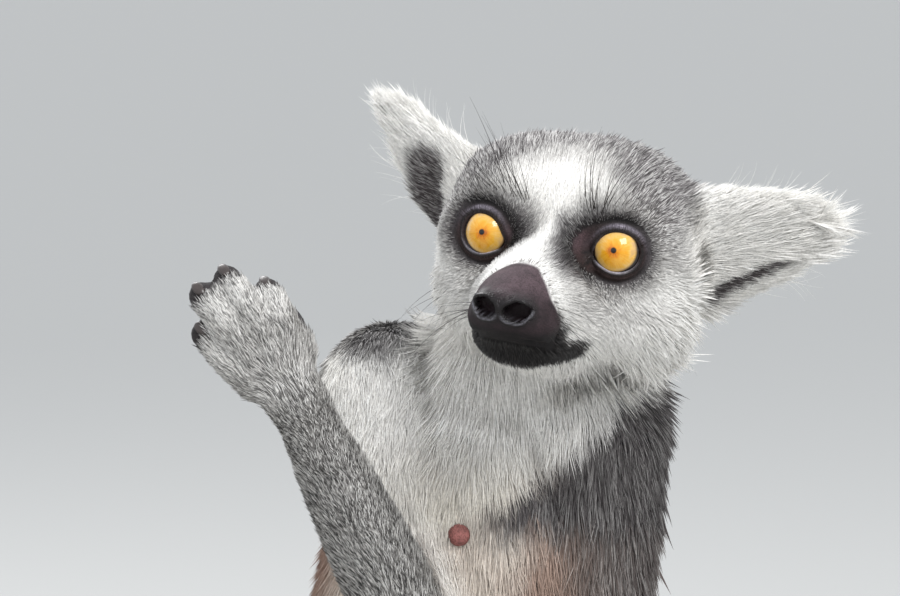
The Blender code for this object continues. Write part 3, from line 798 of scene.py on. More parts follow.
def headLook(p, h):
    pair = folded(h)
    a, f, u = pair.T
    rough = wander(p, 9, 1.0) * 1.3
    centre, outward, up, _ = eyeFrame(1)
    rel = pair - centre
    across, high = rel @ outward, rel @ up
    eyeAway = np.linalg.norm(rel, axis=1)
    colour = np.tile(tone["white"], (len(h), 1))
    # grey cap over the crown, down between eye and ear, and the nape
    top, sideways, behind = marks["capLine"]
    capLine = top - sideways * a**2 - behind * np.clip(-8 - f, 0, 30) + rough
    cap = smooth(-3.5, 3.5, u - capLine) * (1 - smooth(30, 36, a) * smooth(-42, -30, f))
    nape = smooth(-44, -54, f) * smooth(-34, -20, u)
    colour = mix(colour, mix(tone["cap"], tone["slate"], 0.45 * bell(a - 20, 10)), np.maximum(cap, nape))
    edge = smooth(-7, 0, u - capLine) * (1 - cap)
    colour = mix(colour, tone["grey"], 0.45 * edge * (f > -12))
    # greyer below the eyes and on the cheek, and the side of the nose
    under = bell(ovalAway(pair, (16, 12, -13.5), (10, 14, 6.5)), 1.0)
    colour = mix(colour, tone["grey"], 0.72 * under)
    streak = bell(ovalAway(pair, (25, 0, -17), (7, 9, 2.6)), 1.0)
    colour = mix(colour, tone["grey"], 0.45 * streak)
    # black fur round the eyes, wider towards the nose and above
    near = 1 - smooth(14, 21, eyeAway)
    size = marks["eyePatch"]
    inner = np.where(h[:, 0] > 0, *size["inner"])
    patch = np.hypot(across / np.where(across < 0, inner, size["outer"]),
                     high / np.where(high > 0, size["above"], size["below"]))
    fade = 1 - smooth(0.78, 1.12, patch + rough * 0.04)
    soft = 1 - smooth(0.9, 1.55, patch + rough * 0.05)
    facing = smooth(-9, -4, f)
    colour = mix(colour, tone["grey"], 0.65 * soft * facing * near)
    colour = mix(colour, tone["slate"], fade * facing)
    colour = mix(colour, tone["black"], 0.9 * (1 - smooth(0.66, 0.95, patch)) * facing)
    shape = np.hypot(np.where(across < 0, across / (inner * 0.8), across / 10.8), high / 11.0)
    bareEye = (1 - smooth(0.68, 0.84, shape + rough * 0.02)) * facing
    colour = mix(colour, tone["eyeSkin"], bareEye * (0.9 - 0.5 * smooth(2, 8, high)))
    colour = mix(colour, tone["innerLid"], 0.55 * bareEye * bell(across + 14, 4.5) * bell(high - 2, 4))
    _, r, opened, turn = eyePolar(pair, 1)
    past = opened - lidOpening(turn)
    close = (r < 11.5) * facing
    upper = bell(turnBetween(turn, 85), 52)
    colour = mix(colour, tone["lidBand"], close * bell(past - 9.5, 4.2) * 0.75 * upper)
    # the fold above the upper lid is painted dark as shade in the crease; the dark edge of the lid along the
    # eye is its own colour
    creaseShadeAndMargin = np.maximum(bell(past - 21, 2.0) * upper, bell(past - 2.4, 2.2))
    colour = mix(colour, tone["black"] * 0.5, close * creaseShadeAndMargin * 0.85)
    # a pale line painted along the lower lid as the highlight on its wet edge
    wetLineHighlight = close * bell(past, 1.8) * bell(r - 8.5, 0.35) * bell(turnBetween(turn, 250), 58)
    wetLineHighlight = wetLineHighlight * smooth(8, 22, np.abs(turnBetween(turn, lids["innerCorner"][0])))
    colour = mix(colour, tone["wetHighlight"], 0.9 * wetLineHighlight)
    # black leather on the tip of the muzzle, its edge laid down as seen from the front left
    slant = pair @ (0.918, -0.375, 0.129) + 3.2
    level = pair @ (-0.17, -0.0795, 0.982) + 0.7
    leatherEdge = np.interp(level, *marks["leatherEdge"])
    mouthAway, _ = toLine(pair, head["mouth"])
    mouthLevel = np.interp(f, *marks["mouthLevel"])
    leather = smooth(-0.7, 0.7, leatherEdge - slant + rough * 0.2)
    leather = leather * (1 - smooth(*marks["leatherTop"], level + rough * 0.2))
    leather = leather * (u > mouthLevel - 0.5) * smooth(24, 27, f)
    # short black fur along the lower lip, out to the corner of the mouth and up beside the leather
    lipAway, _ = toLine(pair, head["lip"])
    corner = bell(np.linalg.norm(pair - marks["mouthCorner"], axis=1), 6.5)
    lip = 1 - smooth(3.4 + 2.2 * corner, 5.2 + 3.0 * corner, lipAway + rough * 0.6)
    chin = smooth(22, 25, f) * smooth(-34.6, -33.2, u + 0.3 * rough) * (u < mouthLevel + 1)
    lip = np.maximum(lip, np.maximum(1 - smooth(2.6, 4.2, mouthAway + rough * 0.4), chin))
    beside = smooth(-3.4, -1.4, leatherEdge - slant + 0.6 * rough) * (1 - smooth(-25, -21.5, level))
    lip = np.maximum(lip, beside * smooth(18.5, 22.5, f) * (u > -31))
    colour = mix(colour, tone["black"], lip)
    # darkest round the nostrils and down to the lip, browner on the bridge and the sides
    nostrilAway, at = toLine(pair, nose["nostril"])
    radius = np.interp(at, np.linspace(0, 1, len(nose["radii"])), nose["radii"])
    sooty = bell(nostrilAway - radius, 3.6) * smooth(34, 39, f)
    sooty = np.maximum(sooty, smooth(-20.5, -24.5, u - 0.3 * rough))
    velvet = mix(tone["leather"], tone["bridge"], smooth(-15.5, -11, u)) * (1 + 0.2 * rough)[:, None]
    colour = mix(colour, mix(velvet, tone["snout"], sooty), leather)
    # the line of the mouth is painted darker still, as shade in its groove
    colour = mix(colour, tone["black"] * 0.35, 1 - smooth(0.5, 1.2, mouthAway))
    # a pale crescent on the lower rims of the nostrils is a painted highlight
    rim = bell(nostrilAway - radius - 0.7, 0.26) * smooth(36, 39, f)
    colour = mix(colour, tone["rimHighlight"], 0.7 * rim * smooth(-16.2, -18.4, u + 0.35 * (5 - a)))
    # inside the nostrils is painted near black, as the shade in the holes
    colour = mix(colour, tone["black"] * 0.05, 1 - smooth(0.85, 1.08, nostrilAway / radius))
    # how the fur grows
    back = smooth(16, -30, f)
    length = 2.8 + 3.4 * back
    cheek = smooth(14, 26, a) * smooth(6, -6, u) * smooth(10, -6, f)
    length = length + 4.6 * cheek * smooth(16, 24, eyeAway)
    length = length * (0.42 + 0.58 * smooth(11, 20, eyeAway))
    length = blend(length, 1.9, smooth(16, 27, f))
    throat = smooth(-24, -34, u) * smooth(30, 10, f)
    length = length + 6 * throat
    length = blend(length, 2.4, lip * (1 - leather))
    lift = 13 + 6 * cheek + 6 * smooth(18, 30, u) + 2 * throat
    width = 0.20 + 0.012 * length
    density = 9.0 - 5.2 * smooth(3.5, 10, length)
    bare = np.clip(np.maximum(leather, bareEye), 0, 1)
    density = density * (1 - smooth(0.25, 0.75, bare)) * (eyeAway > 10.6)
    grizzle = 0.04 + 0.62 * np.maximum(cap, nape) + 0.5 * under + 0.15 * soft * near + 0.2 * edge
    # the fur lies away from the nose, out from the eyes and down the cheeks
    flow = unit(h - marks["furFrom"])
    flow = flow + (0, 0, -0.55) * (smooth(-4, -24, u) * smooth(12, 24, a))[:, None]
    fromEye = np.column_stack((np.sign(h[:, 0]) * rel[:, 0], rel[:, 1:])) / eyeAway[:, None]
    flow = flow + fromEye * (1.5 * near)[:, None]
    flow = flow + (0, 0, -1.2) * throat[:, None]
    return colour, length, lift, width, density, grizzle, bare, headWay(unit(flow)), leather


def earLook(p, h, side, normals):
    points, axes = earFrame(side)
    rel = (p - points[0]) @ axes
    reach = rel[:, 2] / np.linalg.norm(points[-1] - points[0])
    hollow = earHollow(h, side)
    # the dark inside shows between the long white hairs of the rims
    away, _ = toLine(h[:, (0, 2)], ears[side]["dark"])
    away = away / ears[side]["darkWide"] * (1 + 0.8 * smooth(48, 58, h[:, 0])) + wander(p, 5, 1.0) * 0.12
    front = smooth(0.1, 0.4, normals @ axes[:, 1])
    dark = 1 - smooth(0.8, 1.25, away)
    inside = np.maximum((1 - smooth(-0.2, 1.2, hollow)) * 0.3, dark) * front
    colour = np.tile(tone["white"], (len(p), 1))
    colour = mix(colour, tone["inEar"], 0.97 * dark * front)
    short = (1 - smooth(1.0, ears[side]["shortTo"], away)) * front
    length = (7.5 + ears[side]["tipHair"] * smooth(0.3, 0.95, reach)) * (1 - 0.62 * short)
    # at the very tip the hair grows straight on
    atTip = smooth(0.35, 0.85, normals @ axes[:, 2]) * smooth(0.8, 0.95, reach)
    lift = 9 + 2 * smooth(0.5, 1, reach) + 46 * atTip
    width = 0.17 + 0.006 * length
    density = 7.2 * (1 - 0.6 * inside)
    grizzle = 0.03 + 0.35 * inside
    spread = 0.25 * (1 - ears[side]["gather"] * smooth(0.55, 0.9, reach))
    flow = axes[:, 2] + axes[:, 0] * (spread * np.sign(rel[:, 0]) * smooth(0, 6, np.abs(rel[:, 0])))[:, None]
    return colour, length, lift, width, density, grizzle, np.zeros(len(p)), unit(flow)


nipple = {
    "at": {1: (-4.4, -32, 266), -1: (-38, -10, 270)},
    "radius": 3.3,
    "rise": 2.3,
    "sunk": 3.0,
    # a low dome with a waist: how wide, how high, how much of it is pink
    "rings": [(1.1, 0.0, 0), (0.95, 2.2, 0.15), (0.8, 2.9, 0.35), (1.0, 3.9, 1), (0.85, 4.9, 1),
              (0.45, 5.5, 1)],
    "top": 5.7,
    "turns": 20,
}


def bibHeight(p):
    # how far the lower edge of the white bib lies under each point of the left side
    return p[:, 2] - np.maximum(268, 268.5 + 0.796 * p[:, 0])


def torsoLook(p):
    z = p[:, 2]
    rows = sorted(torso["sections"] + torso["neck"], key=lambda row: row[0][2])
    centres, radii = (np.array(v, float) for v in zip(*rows))
    middle = np.stack([np.interp(z, centres[:, 2], centres[:, k]) for k in (0, 1)], axis=1)
    wide, deep = (np.interp(z, centres[:, 2], radii[:, k]) for k in (0, 1))
    a = (p[:, :2] - middle) @ torsoAxes[:2, 0]
    b = -(p[:, :2] - middle) @ torsoAxes[:2, 1]
    turnRound = np.degrees(np.arctan2(np.abs(a) / wide, b / deep))
    rough = wander(p, 16, 2.0)
    side = np.abs(a)
    top = 268 + np.clip(side - 12, 0, 60) * 1.0 + rough * 4
    bottom = 270 + rough * 3 - 0.05 * side
    # a white bib that the dark shoulders cut into, pinkish flanks, a pale belly and a grey back
    bibTurn = turnRound + rough * 8 - 46 * smooth(278, 302, z)
    top = np.where(a > 0, z - bibHeight(p) + rough * 4, top)
    bib = smooth(-3.5, 3.5, z - top) * (1 - smooth(68, 84, bibTurn))
    belly = 1 - smooth(30, 56, turnRound + rough * 8)
    flank = mix(tone["rosy"], tone["agouti"], smooth(112, 148, turnRound + rough * 10))
    flank = mix(flank, tone["brown"], 0.4 * smooth(120, 170, turnRound) * smooth(150, 90, z))
    dark = smooth(bottom - 4, bottom + 3, z) * (1 - bib) * smooth(7, 12, side)
    dark = dark * (1 - 0.45 * smooth(120, 150, turnRound))
    lowBelly = mix(tone["belly"], tone["cream"], smooth(180, 120, z))
    colour = mix(flank, lowBelly, belly)
    colour = mix(colour, tone["slate"], dark)
    colour = mix(colour, mix(tone["cream"], tone["white"], smooth(268, 300, z)), bib)
    # brown streaks where the white hair lies over the dark
    streaks = smooth(0.25, 0.7, wander(p * (1, 1, 0.35), 7, 5.0)) * bell(z - top - 5, 9)
    streaks = streaks * (1 - smooth(60, 80, turnRound))
    colour = mix(colour, tone["streak"], 0.5 * streaks)
    rightTop = smooth(318, 326, z) * smooth(-14, -24, p[:, 0]) * smooth(20, 8, np.abs(b))
    colour = mix(colour, tone["slate"], rightTop)
    # bare, darker skin shows round the nipples
    teat = np.minimum(*(np.linalg.norm(p - nipple["at"][sign], axis=1) for sign in (1, -1)))
    colour = mix(colour, tone["streak"], 0.75 * (1 - smooth(3.0, 6.5, teat)))
    length = 10.5 + 4 * smooth(60, 120, turnRound) - 2.0 * belly * smooth(270, 230, z)
    front = (1 - smooth(70, 110, turnRound)) * smooth(215, 245, z)
    lift = 15 + 6 * smooth(60, 110, turnRound) - 4 * front
    width = 0.25 + 0.012 * length + 0.34 * (1 - front)
    density = 0.72 + 2.8 * front
    grizzle = 0.04 + 0.4 * smooth(50, 110, turnRound) * (1 - bib) + 0.25 * dark
    flow = np.tile((0.0, 0.0, -1.0), (len(p), 1))
    flow = flow + torsoAxes[:, 0] * (0.35 * np.sign(a) * bib * smooth(4, 30, side))[:, None]
    return colour, length, lift, width, density, grizzle, np.zeros(len(p)), flow


def limbLook(p, t, lie, normals, name):
    arm, left = name.startswith("arm"), name.endswith("Left")
    rough = wander(p, 14, 3.0)
    colour = np.tile(tone["agouti"], (len(p), 1)) * (1 + 0.15 * rough)[:, None]
    grizzle = 0.78 + 0 * t
    flat = 0
    if arm:
        length = 6.8 - 2.8 * smooth(0.4, 1, t)
        width = 0.2 + 0.01 * length
        density = 4.4 + 0 * t
        high = 1 - smooth(0.36, 0.52, t)
        if left:
            # the dark shoulder runs on down the upper arm
            colour = mix(colour, tone["slate"], 0.85 * high)
            bib = high * smooth(-3, 3, bibHeight(p) - rough * 4) * smooth(34, 20, p[:, 1])
            colour = mix(colour, tone["white"], bib)
            grizzle = grizzle - 0.5 * high - 0.35 * bib
            density = 1.0 + 1.7 * high
            width = width + 0.2 * (1 - high)
            length = length + 4 * high
        else:
            # the raised arm shows its white inner side, under a dark fringe along the shoulder
            inner = high * smooth(-0.35, 0.05, normals @ unit(np.array((0.1, -0.95, -0.2))))
            fringe = smooth(0.5, 0.75, normals[:, 2] + 0.1 * rough) * high
            colour = mix(colour, tone["white"], inner)
            colour = mix(colour, tone["slate"], fringe)
            grizzle = grizzle * (1 - 0.95 * inner) + 0.3 * fringe
            length = length + 2.0 * high - 3.5 * fringe - 1.4 * (1 - high)
            width = width - 0.03 + 0.07 * high
            density = density + 1.2 * (1 - high)
            grizzle = grizzle + 0.12 * (1 - high)
            colour = mix(colour, tone["pale"], 0.22 * (1 - high))
            flat = high
    else:
        colour = mix(colour, tone["brown"], 0.25)
        length = 12.0 - 6 * smooth(0.3, 1, t)
        width = 0.66 + 0.015 * length
        density = 0.62 + 0.4 * smooth(0.4, 1, t)
    lift = 13 - 5 * flat + 0 * t
    return colour, length, lift, width, density, grizzle, 0 * t, lie


def pawLook(p, t, lie, normals, side, foot):
    start, axes = pawFrame(side, foot)
    q = (p - start) @ axes
    rough = wander(p, 6, 4.0)
    colour = np.tile(mix(tone["pale"], tone["agouti"], 0.35), (len(p), 1))
    colour = mix(colour, tone["white"], 0.45 * smooth(0.3, 0.8, t))
    level = -1.5 if foot else -1.0
    palm = smooth(level, level + 2.5, -q[:, 2] - 3.5 * (1 - smooth(0.2, 0.8, t)))
    palm = np.maximum(palm, smooth(0.35, 0.6, -(normals @ axes[:, 2])) * smooth(0.12, 0.22, t))
    tip = smooth(0.84, 0.95, t + rough * 0.03)
    bare = np.maximum(palm, tip)
    colour = mix(colour, tone["pad"], bare)
    length = 4.6 - 2.2 * smooth(0.2, 0.8, t)
    density = (2.0 if foot else 6.0) * (1 - smooth(0.3, 0.7, bare))
    width = (0.4 if foot else 0.22) + 0.01 * length
    return colour, length, 9 + 0 * t, width, density, 0.75 + 0 * t, bare, lie


def tailLook(p, t, lie):
    s = t * tail["length"] + wander(p, 12, 5.0) * 2.5
    period = (tail["length"] - 70) / (tail["rings"] - 1)
    phase = ((s - 26) / period) % 1
    ring = smooth(0.0, 0.07, phase) * (1 - smooth(0.52, 0.6, phase))
    ring = np.where(s > tail["length"] - 48, 1.0, ring)
    ring = ring * smooth(20, 32, s)
    colour = mix(mix(tone["white"], tone["black"], ring), tone["agouti"], 1 - smooth(14, 34, s))
    length = 19.0 - 4 * smooth(0.9, 1, t) - 5 * (1 - smooth(0, 0.1, t))
    density = 0.7 + 0.5 * smooth(0.8, 1, t)
    return colour, length, 19 + 0 * t, 0.8 + 0 * t, density, 0.1 + 0 * t, 0 * t, lie


def lookOf(p, normals):
    scores, nearest = nearness(p)
    weights = np.exp(-9 * (scores - scores.min(axis=1, keepdims=True)))
    tailAt = regionNames.index("tail")
    weights[:, tailAt] *= np.where(scores[:, tailAt] < 1.6, 1, 0.02)  # the rump keeps clear of the tail
    weights /= weights.sum(axis=1, keepdims=True)
    h = toHead(p)
    total = None
    leather = np.zeros(len(p))
    for k, name in enumerate(regionNames):
        t, lie = sampleT[nearest[:, k]], sampleLie[nearest[:, k]]
        on = weights[:, k] > 0.004
        q, hq, n, t, lie = p[on], h[on], normals[on], t[on], lie[on]
        if not len(q):
            continue
        if name == "head":
            *values, leatherHere = headLook(q, hq)
            leather[on] = leatherHere * weights[on, k]
        elif name.startswith("ear"):
            values = earLook(q, hq, name[3:].lower(), n)
        elif name == "torso":
            values = torsoLook(q)
        elif name.startswith("arm") or name.startswith("leg"):
            values = limbLook(q, t, lie, n, name)
        elif name == "tail":
            values = tailLook(q, t, lie)
        else:
            values = pawLook(q, t, lie, n, name[4:].lower(), name.startswith("foot"))
        block = np.column_stack([v if np.ndim(v) == 2 else v[:, None] for v in values])
        if total is None:
            total = np.zeros((len(p), block.shape[1]))
        total[on] += block * weights[on, k][:, None]
    region = weights.argmax(axis=1)
    index = nearest[np.arange(len(p)), region]
    flow = total[:, 9:12]
    flow = unit(flow - normals * (flow * normals).sum(axis=1, keepdims=True))
    return {"colour": total[:, :3], "length": total[:, 3], "lift": total[:, 4], "width": total[:, 5],
            "density": total[:, 6], "grizzle": total[:, 7], "bare": total[:, 8], "flow": flow,
            "leather": leather, "region": region, "sample": index, "h": h}


points = coordinates(skin.data)
normals = vectorsOf(skin.data.vertices, "normal")
look = lookOf(points, normals)
report("markings and lie of the coat")


def setAttribute(mesh, name, kind, values):
    layer = mesh.attributes.new(name, kind, "POINT")
    field = {"FLOAT_COLOR": "color", "FLOAT_VECTOR": "vector", "FLOAT": "value"}[kind]
    layer.data.foreach_set(field, np.ascontiguousarray(values, np.float32).ravel())


def withAlpha(colours):
    return np.column_stack((colours, np.ones(len(colours))))


# the skin under the fur is painted darker than the coat, as shade beneath the hair; bare skin keeps its
# colour
shadedUnderfur = mix(look["colour"] * 0.86, look["colour"], smooth(0.3, 0.8, look["bare"]))
setAttribute(skin.data, "coatColour", "FLOAT_COLOR", withAlpha(shadedUnderfur))
setAttribute(skin.data, "bareSkin", "FLOAT", look["bare"])
# moist round the nostrils, on the tip of the nose and along the lids
pair = folded(look["h"])
_, r, opened, turn = eyePolar(pair, 1)
lidEdge = bell(opened - lidOpening(turn), 3) * (r < 10.5)
nostrilAway, _ = toLine(pair, nose["nostril"])
tipAway = ovalAway(pair, (0, 43, -14.5), (6, 6, 3.6))
moist = np.maximum(bell(nostrilAway - 2.6, 1.8), 1 - smooth(0.7, 1.2, tipAway)) * look["leather"]
setAttribute(skin.data, "moist", "FLOAT", np.clip(np.maximum(moist, lidEdge), 0, 1))


# Materials.

def addNode(tree, kind, links=None, stops=(), **settings):
    # one node, its settings, a ramp's stops, and what feeds it as {input: value, socket or node},
    # where a node stands for its first output
    node = tree.nodes.new(kind)
    for name, value in settings.items():
        setattr(node, name, value)
    for k, (place, colour) in enumerate(stops):
        points = node.color_ramp.elements
        point = points[k] if k < len(points) else points.new(place)
        point.position = place
        point.color = (*linear(colour), 1) if isinstance(colour, str) else (colour, colour, colour, 1)
    for name, value in (links or {}).items():
        if isinstance(value, bpy.types.Node):
            value = value.outputs[0]
        if isinstance(value, bpy.types.NodeSocket):
            tree.links.new(value, node.inputs[name])
        else:
            node.inputs[name].default_value = value
    return node


def newMaterial(name):
    material = bpy.data.materials.new(name)
    material.use_nodes = True
    material.node_tree.nodes.clear()
    return material, material.node_tree


def finishMaterial(tree, shader):
    addNode(tree, "ShaderNodeOutputMaterial", {"Surface": shader})


def furMaterial(name):
    # keratin hair: soft and matt, with a faint bloom where light grazes it
    material, tree = newMaterial(name)
    colour = addNode(tree, "ShaderNodeAttribute", attribute_name="coatColour")
    place = addNode(tree, "ShaderNodeTexCoord").outputs["Object"]
    # differences from hair to hair, over about 0.7 mm
    fine = addNode(tree, "ShaderNodeTexNoise", {"Vector": place, "Scale": 1400.0, "Detail": 1.0})
    value = addNode(tree, "ShaderNodeMapRange", {"Value": fine, "From Min": 0.3, "From Max": 0.7,
                                                 "To Min": 0.86, "To Max": 1.1})
    shade = addNode(tree, "ShaderNodeHueSaturation", {"Color": colour, "Value": value})
    shader = addNode(tree, "ShaderNodeBsdfPrincipled", {
        "Base Color": shade, "Roughness": 0.62, "IOR": 1.55,
        "Specular IOR Level": 0.16, "Sheen Weight": 0.05, "Sheen Roughness": 0.5})
    finishMaterial(tree, shader)
    return material


def skinMaterial():
    # hairless leather on nose, lids and pads, with a fine pebbled grain; matt skin elsewhere under the coat,
    # its colour painted darker there as shade
    material, tree = newMaterial("lemurSkin")
    colour = addNode(tree, "ShaderNodeAttribute", attribute_name="coatColour")
    bare = addNode(tree, "ShaderNodeAttribute", attribute_name="bareSkin").outputs["Fac"]
    place = addNode(tree, "ShaderNodeTexCoord").outputs["Object"]
    pebble = addNode(tree, "ShaderNodeTexVoronoi", {"Vector": place, "Scale": 1500.0},
                     feature="DISTANCE_TO_EDGE")  # grain of about 0.7 mm
    # soft blotches of about 2.5 mm, and hairs of about 0.5 mm
    mottle = addNode(tree, "ShaderNodeTexNoise", {"Vector": place, "Scale": 420.0, "Detail": 4.0})
    hairs = addNode(tree, "ShaderNodeTexNoise", {"Vector": place, "Scale": 2200.0, "Detail": 3.0})
    value = addNode(tree, "ShaderNodeMapRange", {"Value": mottle, "From Min": 0.3, "From Max": 0.7,
                                                 "To Min": 0.75, "To Max": 1.3})
    # down on the bare parts
    down = addNode(tree, "ShaderNodeMapRange", {"Value": hairs, "From Min": 0.35, "From Max": 0.65,
                                                "To Min": 0.72, "To Max": 1.4})
    value = addNode(tree, "ShaderNodeMath", {0: value, 1: down}, operation="MULTIPLY")
    shade = addNode(tree, "ShaderNodeHueSaturation", {"Color": colour, "Value": value})
    grain = addNode(tree, "ShaderNodeMapRange", {"Value": pebble, "From Max": 0.12})
    height = addNode(tree, "ShaderNodeMix", {"Factor": bare, 2: hairs, 3: grain}, data_type="FLOAT")
    bump = addNode(tree, "ShaderNodeBump", {"Height": height, "Strength": 0.35, "Distance": 0.00025})
    moist = addNode(tree, "ShaderNodeAttribute", attribute_name="moist").outputs["Fac"]
    rough = addNode(tree, "ShaderNodeMapRange", {"Value": bare, "To Min": 0.85, "To Max": 0.74})
    wet = addNode(tree, "ShaderNodeMix", {"Factor": moist, 2: rough, 3: 0.2}, data_type="FLOAT")
    shader = addNode(tree, "ShaderNodeBsdfPrincipled", {
        "Base Color": shade, "Roughness": wet, "IOR": 1.45,
        "Specular IOR Level": 0.34, "Normal": bump})
    finishMaterial(tree, shader)
    return material


def putMaterial(obj, material):
    obj.data.materials.clear()
    obj.data.materials.append(material)


putMaterial(skin, skinMaterial())
fleshNodes = [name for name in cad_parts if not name.startswith("eye_")]
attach(skin, "root")
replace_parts(skin, *fleshNodes)

# The coat: slim four-faced tufts that follow the skin.

coat = {
    "seed": 41,
    "thickness": 1.0,  # of the tufts the look functions ask for, how many are made
    "sunk": 0.35,  # mm that a root starts under the skin
    "stray": 0.9,  # mm that a hair takes its colour from beyond its own place
    "patch": 0.0015,  # half of a tuft's place on the map
    "locks": ((7.5, 6.0, 0.34), (3.1, 9.0, 0.18)),  # their size, a seed, and how far they lean
    "uneven": {"heading": 0.10, "length": 0.16, "lift": 0.35, "width": 0.15, "shade": 0.05},
    "bend": 0.42,  # the share of a tuft that lies before its bend
    "longest": 34,
    "rounding": (0.55, 0.32, 0.2),  # how far the light takes a tuft for round: over, across, along
    "pale": 0.36,  # the share of hairs that grizzle makes pale
    "dark": 0.30,
    # where one piece ends and the next begins, in mm or in shares of the tail
    "face": -14, "throat": 300, "chest": 200, "flank": 110, "tail": (0.36, 0.7),
}
rng = np.random.default_rng(coat["seed"])
skin.data.calc_loop_triangles()
triangles = np.empty(len(skin.data.loop_triangles) * 3, np.int32)
skin.data.loop_triangles.foreach_get("vertices", triangles)
triangles = triangles.reshape(-1, 3)
corners = points[triangles]
areas = np.linalg.norm(np.cross(corners[:, 1] - corners[:, 0], corners[:, 2] - corners[:, 0]), axis=1) / 2
skinTree = BVHTree.FromPolygons(points.tolist(), triangles.tolist(), all_triangles=True)


def nearestSkin(places):
    hits = np.empty((len(places), 8))
    for k, place in enumerate(places.tolist()):
        where, normal, face, away = skinTree.find_nearest(place)
        hits[k] = (*where, *normal, away, face)
    return hits[:, :3], hits[:, 3:6], hits[:, 6], hits[:, 7].astype(int)


def followSkin(places, height, loose):
    # lifts points to a height over the skin; where the skin turns away they stand off a little
    where, normal, away, _ = nearestSkin(places)
    free = (((places - where) * normal).sum(axis=1) > 0) & (loose * away > height)
    held = where + normal * height[:, None]
    return np.where(free[:, None], where + (places - where) * loose, held), normal


def tuftsFor(chosen):
    # roots spread evenly by the density, in order over the chosen triangles
    density = look["density"][triangles[chosen]].mean(axis=1) * coat["thickness"]
    wanted = np.cumsum(areas[chosen] * density)
    count = int(wanted[-1])
    places = (np.arange(count) + rng.random(count)) * (wanted[-1] / count)
    face = chosen[np.minimum(np.searchsorted(wanted, places), len(chosen) - 1)]
    u, v = rng.random((2, count))
    over = u + v > 1
    u[over], v[over] = 1 - u[over], 1 - v[over]
    share = np.column_stack((1 - u - v, u, v))

    def atRoots(values):
        held = values[triangles[face]]
        return (held * (share[..., None] if held.ndim == 3 else share)).sum(axis=1)

    pick = {name: atRoots(look[name]) for name in ("length", "lift", "width", "grizzle", "flow")}
    first = triangles[face][:, 0]
    return atRoots(points), unit(atRoots(normals)), pick, look["region"][first], look["sample"][first]


def unwrapPlaces(root, region, sample):
    # turn round the nearest bone and distance along it, each region in a tile of its own
    spot = np.empty((len(root), 2))
    used = list(np.unique(region))
    across = math.ceil(math.sqrt(len(used)))
    for k, r in enumerate(used):
        on = region == r
        lie = sampleLie[sample[on]]
        helper = np.where(np.abs(lie[:, 2:3]) < 0.85, np.array((0, 0, 1.0)), np.array((0, 1.0, 0)))
        side = unit(np.cross(lie, helper))
        rel = root[on] - samplePoint[sample[on]]
        high, wide = (rel * np.cross(lie, side)).sum(axis=1), (rel * side).sum(axis=1)
        turn = np.arctan2(high, wide) / (2 * math.pi) + 0.5
        if regionNames[r] == "head":
            h = toHead(root[on])
            turn = np.arctan2(h[:, 0], h[:, 2] + 8) / (2 * math.pi) + 0.5
            reach = h[:, 1]
        else:
            reach = sample[on] * 6.0 + (rel * lie).sum(axis=1)  # samples lie about 6 mm apart
        reach = (reach - reach.min()) / max(np.ptp(reach), 1e-6)
        cell = np.column_stack((turn, reach)) * 0.96 + 0.02
        spot[on] = (cell + (k % across, k // across)) / across
    return np.clip(spot, 0.002, 0.998)


tuftFaces = np.array([(0, 2, 1), (3, 1, 2), (0, 1, 3), (0, 3, 2)])


